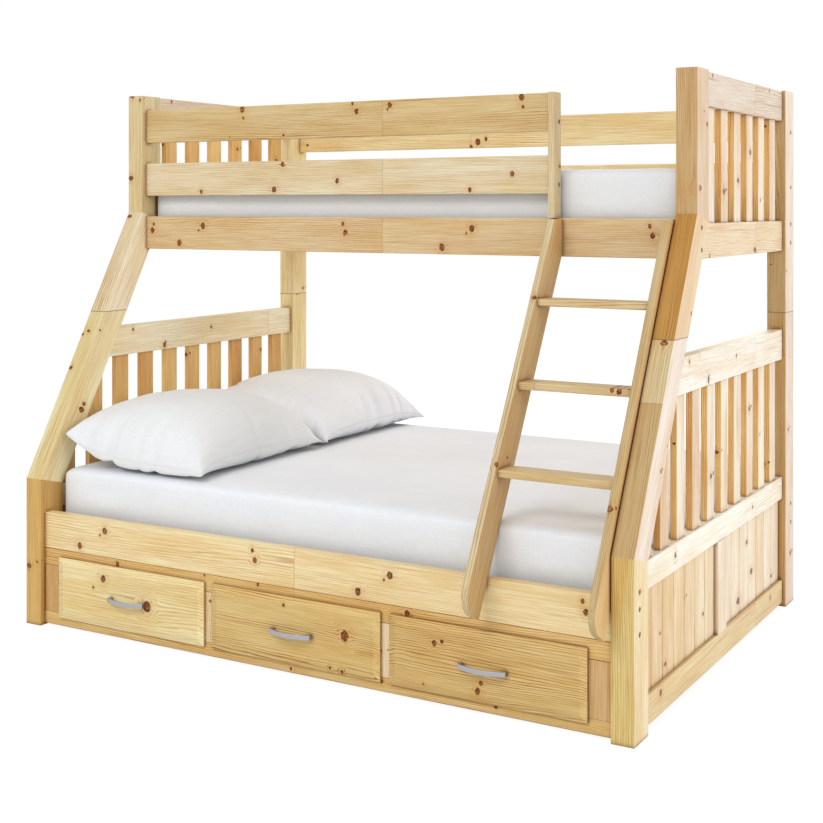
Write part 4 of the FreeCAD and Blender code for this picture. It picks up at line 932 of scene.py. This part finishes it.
def mattress_cover(name, node, cloth, spare=0.0):
    """A padded block with soft edges; spare is what the cover adds to the length at each end."""
    low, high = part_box(node)
    low, high = low - Vector((spare, 0, 0)), high + Vector((spare, 0, 0))
    inner_low, inner_high = low + INSET_LOW, high - INSET_HIGH
    mesh = block_mesh(inner_low, inner_high)
    middle, half = (low + high) / 2, (high - low) / 2
    for point in mesh.vertices:
        spot = ease(point.co.copy(), inner_low, inner_high)
        along, across = (spot.x - middle.x) / half.x, (spot.y - middle.y) / half.y
        if spot.z > middle.z:
            spot.z += (CROWN - SWELL) * max(0.0, 1 - along ** 4) * max(0.0, 1 - across ** 4)
        point.co = spot
    start = [point.co.copy() for point in mesh.vertices]
    blown = settle(
        name + "_cloth", mesh.copy(), frames=14, pressure=1.2, bending=1.5, tension=25.0)
    for point, before, after in zip(mesh.vertices, start, blown):
        moved = after - before
        moved.z = max(moved.z, 0.0)
        if moved.length > SWELL:
            moved = moved * (SWELL / moved.length)
        spot = before + moved
        share = min(1.0, max(0.0, (spot.z - low.z) / (high.z - low.z)))
        side = max(abs(spot.x - middle.x) / half.x, abs(spot.y - middle.y) / half.y)
        if side > SIDE_FROM and SIDE_BAND[0] < share < SIDE_BAND[1]:
            pull = noise.noise(spot * Vector(SIDE_WAVES))
            outward = Vector((spot.x - middle.x, spot.y - middle.y, 0)).normalized()
            spot -= outward * SIDE_PULL * (pull + 0.6) * (1 - share)
        elif share > TOP_FROM:
            spot.z += TOP_WAVE * (noise.noise(Vector((spot.x * TOP_WAVES[0], spot.y * TOP_WAVES[1], 4.2))) - 0.5)
        point.co = within(spot, low, high)
    add_piece(name, fine_mesh(mesh, cloth), "mattress_cotton", node)


mattress_cover("lower_mattress_cover", "lower_mattress", lower_cotton)
mattress_cover("upper_mattress_cover", "upper_mattress", upper_cotton, spare=0.008)


# Pillows
ACROSS, ALONG = 60, 72
LAYER = (ACROSS + 1) * (ALONG + 1)
CASE_WIDTH, CASE_LENGTH, CASE_LOFT, CASE_WAVES, CASE_UNEVEN, PILLOW_FILL = 0.64, 0.76, 0.034, 2.3, 0.35, 0.65
CROWN_HEIGHT, UNDERSIDE, FULLNESS, SOFT_TOP = 0.192, 0.0455, 0.435, 0.1
SEAT, SEAM_RISE, HEAD_LIFT, HEAD_CURVE, FOOT_SHARE = 0.0125, 0.0178, 0.086, 5.2, 0.08
EARS_X, EARS_Y, CREASES, CREASE_CAP, CREASE_SPAN, CREASE_FADE = 0.079, 0.024, 0.8, 0.007, 6, 0.12
GATHER_DEPTH, GATHER_START, GATHER_REACH, GATHER_SHARP = 0.018, 0.008, 0.060, 6
BEND_DEPTH, BEND_PLACE, BEND_SLANT, BEND_WIDTH, BEND_SIDES = 0.016, -0.36, 0.25, 0.014, 4.5
UNEVEN_HEIGHT, UNEVEN_PLACES, BED_CLEARANCE, SIDE_CLEARANCE = 0.005, 1.9, 0.0015, 0.001
STITCH_STEP, STITCH_LENGTH, STITCH_RADIUS, STITCH_INSET, STITCH_LIFT = 0.006, 0.0036, 0.00045, 0.35, 0.0008


def case_share(i, j):
    """A point of the case's grid as shares of its half sizes."""
    return 2 * i / ACROSS - 1, 2 * j / ALONG - 1


def case_mesh(name):
    """Two cloth layers sewn together all round, slightly apart in the middle."""
    form = bmesh.new()
    layers, marks = [], []
    for side in (1, -1):
        rows = []
        for i in range(ACROSS + 1):
            row = []
            for j in range(ALONG + 1):
                u, v = case_share(i, j)
                if side < 0 and (i in (0, ACROSS) or j in (0, ALONG)):
                    row.append(layers[0][i][j])
                    continue
                wave = noise.noise(Vector((u * CASE_WAVES, v * CASE_WAVES, side * 1.7 + len(name))))
                lift = side * CASE_LOFT * (1 - u ** 4) * (1 - v ** 4) * (1 + CASE_UNEVEN * wave)
                row.append(form.verts.new((u * CASE_WIDTH / 2, v * CASE_LENGTH / 2, lift)))
                marks.append((i, j))
            rows.append(row)
        layers.append(rows)
        for i in range(ACROSS):
            for j in range(ALONG):
                corners = [rows[i][j], rows[i + 1][j], rows[i + 1][j + 1], rows[i][j + 1]]
                form.faces.new(corners if side > 0 else corners[::-1])
    form.verts.index_update()
    round_path = (
        [(i, 0) for i in range(ACROSS)] + [(ACROSS, j) for j in range(ALONG)]
        + [(i, ALONG) for i in range(ACROSS, 0, -1)] + [(0, j) for j in range(ALONG, 0, -1)])
    seam = [layers[0][i][j].index for i, j in round_path]
    beside = [
        layers[0][min(max(i, 1), ACROSS - 1)][min(max(j, 1), ALONG - 1)].index for i, j in round_path]
    mesh = bpy.data.meshes.new(name)
    form.to_mesh(mesh)
    form.free()
    return mesh, seam, beside, marks


def stitch_form():
    """Short stitches along a closed path."""
    tree, w, given, end = new_form("stitches_along_seam", {
        "Step": "Float", "Length": "Float", "Thickness": "Float", "Finish": "Material"})
    path = w.add("GeometryNodeMeshToCurve", {0: given["Geometry"]}).outputs[0]
    row = w.add("GeometryNodeResampleCurve", {"Curve": path, "Length": given["Step"]}, mode="LENGTH").outputs[0]
    way = w.add("GeometryNodeInputTangent").outputs[0]
    turn = w.add("FunctionNodeAlignRotationToVector", {"Vector": way}, axis="Z").outputs[0]
    stitch = w.add("GeometryNodeMeshCylinder", {
        "Vertices": 6, "Radius": given["Thickness"], "Depth": given["Length"]}).outputs["Mesh"]
    row_of_stitches = w.add("GeometryNodeInstanceOnPoints", {
        "Points": row, "Instance": stitch, "Rotation": turn}).outputs[0]
    finish_form(w, end, (row_of_stitches,), given["Finish"])
    return tree


stitches = stitch_form()


def creases(points, marks):
    """How far each point of the blown-up case stands off its neighbours along the nearest seam."""
    layers = ({}, {})
    for number, (mark, spot) in enumerate(zip(marks, points)):
        layers[number >= LAYER][mark] = spot.z
    layers[1].update({mark: layers[0][mark] for mark in layers[0] if mark not in layers[1]})
    found = []
    for number, (i, j) in enumerate(marks):
        heights = layers[number >= LAYER]
        rows = [heights[at, j] for at in range(max(0, i - CREASE_SPAN), min(ACROSS, i + CREASE_SPAN) + 1)]
        columns = [heights[i, at] for at in range(max(0, j - CREASE_SPAN), min(ALONG, j + CREASE_SPAN) + 1)]
        near_x, near_y = (abs(share) ** 4 for share in case_share(i, j))
        off_rows, off_columns = heights[i, j] - sum(rows) / len(rows), heights[i, j] - sum(columns) / len(columns)
        off = (off_rows * near_y + off_columns * near_x) / (near_x + near_y + CREASE_FADE)
        found.append(max(-CREASE_CAP, min(CREASE_CAP, off * CREASES)))
    return found


def gathers(u, v, half, seed):
    """Depth of the short creases that run in from the seams, and of the one where the head end bends up."""
    depth = 0.0
    for along, inward, number in ((u, (1 - abs(v)) * half.y, v > 0), (v, (1 - abs(u)) * half.x, 2 + (u > 0))):
        sharp = max(0.0, 1 - GATHER_SHARP * abs(noise.noise(Vector((along * 3.4, 5.3 * number, seed)))))
        longer = 0.6 + 0.8 * abs(noise.noise(Vector((along * 2.1, 9.1 * number, seed + 3))))
        fading = (1 - math.exp(-inward / GATHER_START)) * math.exp(-inward / (GATHER_REACH * longer))
        depth += GATHER_DEPTH * sharp * fading
    across = (u - BEND_PLACE + BEND_SLANT * (1 - abs(v))) * half.x / BEND_WIDTH
    return depth + BEND_DEPTH * math.exp(-across * across) * max(0.0, 1 - BEND_SIDES * (1 - abs(v)))


def soften(mesh, kept):
    """The sharpest folds eased, with the seam left in its place."""
    form = bmesh.new()
    form.from_mesh(mesh)
    loose = [point for point in form.verts if point.index not in kept]
    bmesh.ops.smooth_vert(form, verts=loose, factor=0.5, use_axis_x=True, use_axis_y=True, use_axis_z=True)
    form.to_mesh(mesh)
    form.free()


def pillow(name, node, cloth):
    """A stuffed case with its head end bent up, creased along its seams, and the stitches round it."""
    low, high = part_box(node)
    middle, half, tall = (low + high) / 2, (high - low) / 2, high.z - low.z
    mesh, seam, beside, marks = case_mesh(name)
    blown = settle(
        name + "_cloth", mesh.copy(), frames=28, pressure=2.4, bending=0.2, tension=15.0)
    seed = 0.7 * len(name)
    for number, (point, mark) in enumerate(zip(mesh.vertices, marks)):
        u, v = case_share(*mark)
        full = max(0.0, (1 - u * u) * (1 - v * v)) ** FULLNESS * (1 + FOOT_SHARE * u)
        line = SEAT + SEAM_RISE * (1 - v ** 6) + HEAD_LIFT * ((1 - u) / 2) ** HEAD_CURVE
        edge = min(1.0, 4 * min(1 - abs(u), 1 - abs(v)))
        uneven = UNEVEN_HEIGHT * noise.noise(Vector((u * UNEVEN_PLACES, v * UNEVEN_PLACES, seed))) * edge
        height = line - UNDERSIDE * full
        if number < LAYER:
            share = (line + CROWN_HEIGHT * full + uneven) / tall
            over = max(0.0, share - 1 + SOFT_TOP)
            height = tall * (min(share, 1 - SOFT_TOP) + SOFT_TOP * (1 - math.exp(-over / SOFT_TOP)))
        point.co = (
            middle.x + half.x * u * (1 - EARS_X * (1 - v ** 6)),
            middle.y + (half.y - SIDE_CLEARANCE) * v * (1 - EARS_Y * (1 - u ** 6)), low.z + height)
    mesh.update()
    bed = low + Vector((0, 0, BED_CLEARANCE))
    for point, mark, crease, face in zip(
            mesh.vertices, marks, creases(blown, marks), [point.normal.copy() for point in mesh.vertices]):
        u, v = case_share(*mark)
        press = gathers(u, v, half, seed)
        point.co = within(point.co + face * (crease * min(1 - abs(u), 1 - abs(v)) ** 0.5 - press), bed, high)
    soften(mesh, set(seam))
    path = bpy.data.meshes.new(name + "_path")
    count, lift = len(seam), Vector((0, 0, STITCH_LIFT))
    line = [mesh.vertices[a].co.lerp(mesh.vertices[b].co, STITCH_INSET) + lift for a, b in zip(seam, beside)]
    path.from_pydata(line, [(number, (number + 1) % count) for number in range(count)], [])
    sewn = grown(name + "_stitches", path, stitches, {
        "Step": STITCH_STEP, "Length": STITCH_LENGTH, "Thickness": STITCH_RADIUS, "Finish": thread})
    add_piece(name, fine_mesh(mesh, cloth), "pillow_cotton", node)
    add_piece(name + "_stitches", sewn, "pillow_cotton")


pillow("front_pillow", "pillow_front", front_case)
pillow("back_pillow", "pillow_back", back_case)


# Floor, studio light and a white surround
FLOOR_REACH, FLOOR_SHINE, FLOOR_SHARE, SOFT_LIGHT = 40, 1.1, 0.82, 0.7
WHITE = (1, 1, 1, 1)


def lamp(name, place, target, size, power):
    """A broad light that looks at a target and isn't seen itself."""
    data = bpy.data.lights.new(name, "AREA")
    data.shape = "RECTANGLE"
    data.size, data.size_y = size
    data.energy = power
    light = bpy.data.objects.new(name, data)
    light.location = place
    light.rotation_euler = (Vector(target) - Vector(place)).to_track_quat("-Z", "Y").to_euler()
    light.visible_camera = False
    scene.collection.objects.link(light)


lamp("end_light", place=(7.6, -0.7, 2.6), target=(0.0, 0.0, 0.9), size=(3.4, 2.6), power=135)
lamp("front_light", place=(-1.0, -8.0, 6.8), target=(0.0, 0.0, 0.6), size=(5.0, 3.4), power=322)
lamp("back_light", place=(0.6, 6.0, 3.7), target=(0.0, 0.0, 0.5), size=(4.0, 2.0), power=150)


def seen_directly(w):
    """1 where the camera, a reflection or glass looks straight at it."""
    path = w.add("ShaderNodeLightPath").outputs
    return w.most(w.most(path["Is Camera Ray"], path["Is Glossy Ray"]), path["Is Transmission Ray"])


world = bpy.data.worlds.new("studio")
world.use_nodes = True
scene.world = world
world.node_tree.nodes.clear()
w = Wiring(world.node_tree)
soft_light = w.add("ShaderNodeBackground", {"Color": WHITE, "Strength": SOFT_LIGHT}).outputs[0]
white = w.add("ShaderNodeBackground", {"Color": WHITE, "Strength": 1.0}).outputs[0]
surround = w.add("ShaderNodeMixShader", {0: seen_directly(w), 1: soft_light, 2: white}).outputs[0]
w.add("ShaderNodeOutputWorld", {"Surface": surround})

floor_mesh = bpy.data.meshes.new("floor")
floor_mesh.from_pydata(
    [(x * FLOOR_REACH, y * FLOOR_REACH, 0) for x, y in ((-1, -1), (1, -1), (1, 1), (-1, 1))], [], [(0, 1, 2, 3)])
floor = bpy.data.objects.new("floor", floor_mesh)
scene.collection.objects.link(floor)
floor_white = bpy.data.materials.new("floor_white")
floor_white.use_nodes = True
floor_white.node_tree.nodes.clear()
w = Wiring(floor_white.node_tree)
matt = w.add("ShaderNodeBsdfDiffuse", {"Color": paint(236, 236, 234)}).outputs[0]
shine = w.add("ShaderNodeEmission", {"Color": WHITE, "Strength": FLOOR_SHINE}).outputs[0]
share = w.times(seen_directly(w), FLOOR_SHARE)
w.add("ShaderNodeOutputMaterial", {
    "Surface": w.add("ShaderNodeMixShader", {0: share, 1: matt, 2: shine}).outputs[0]})
floor_mesh.materials.append(floor_white)
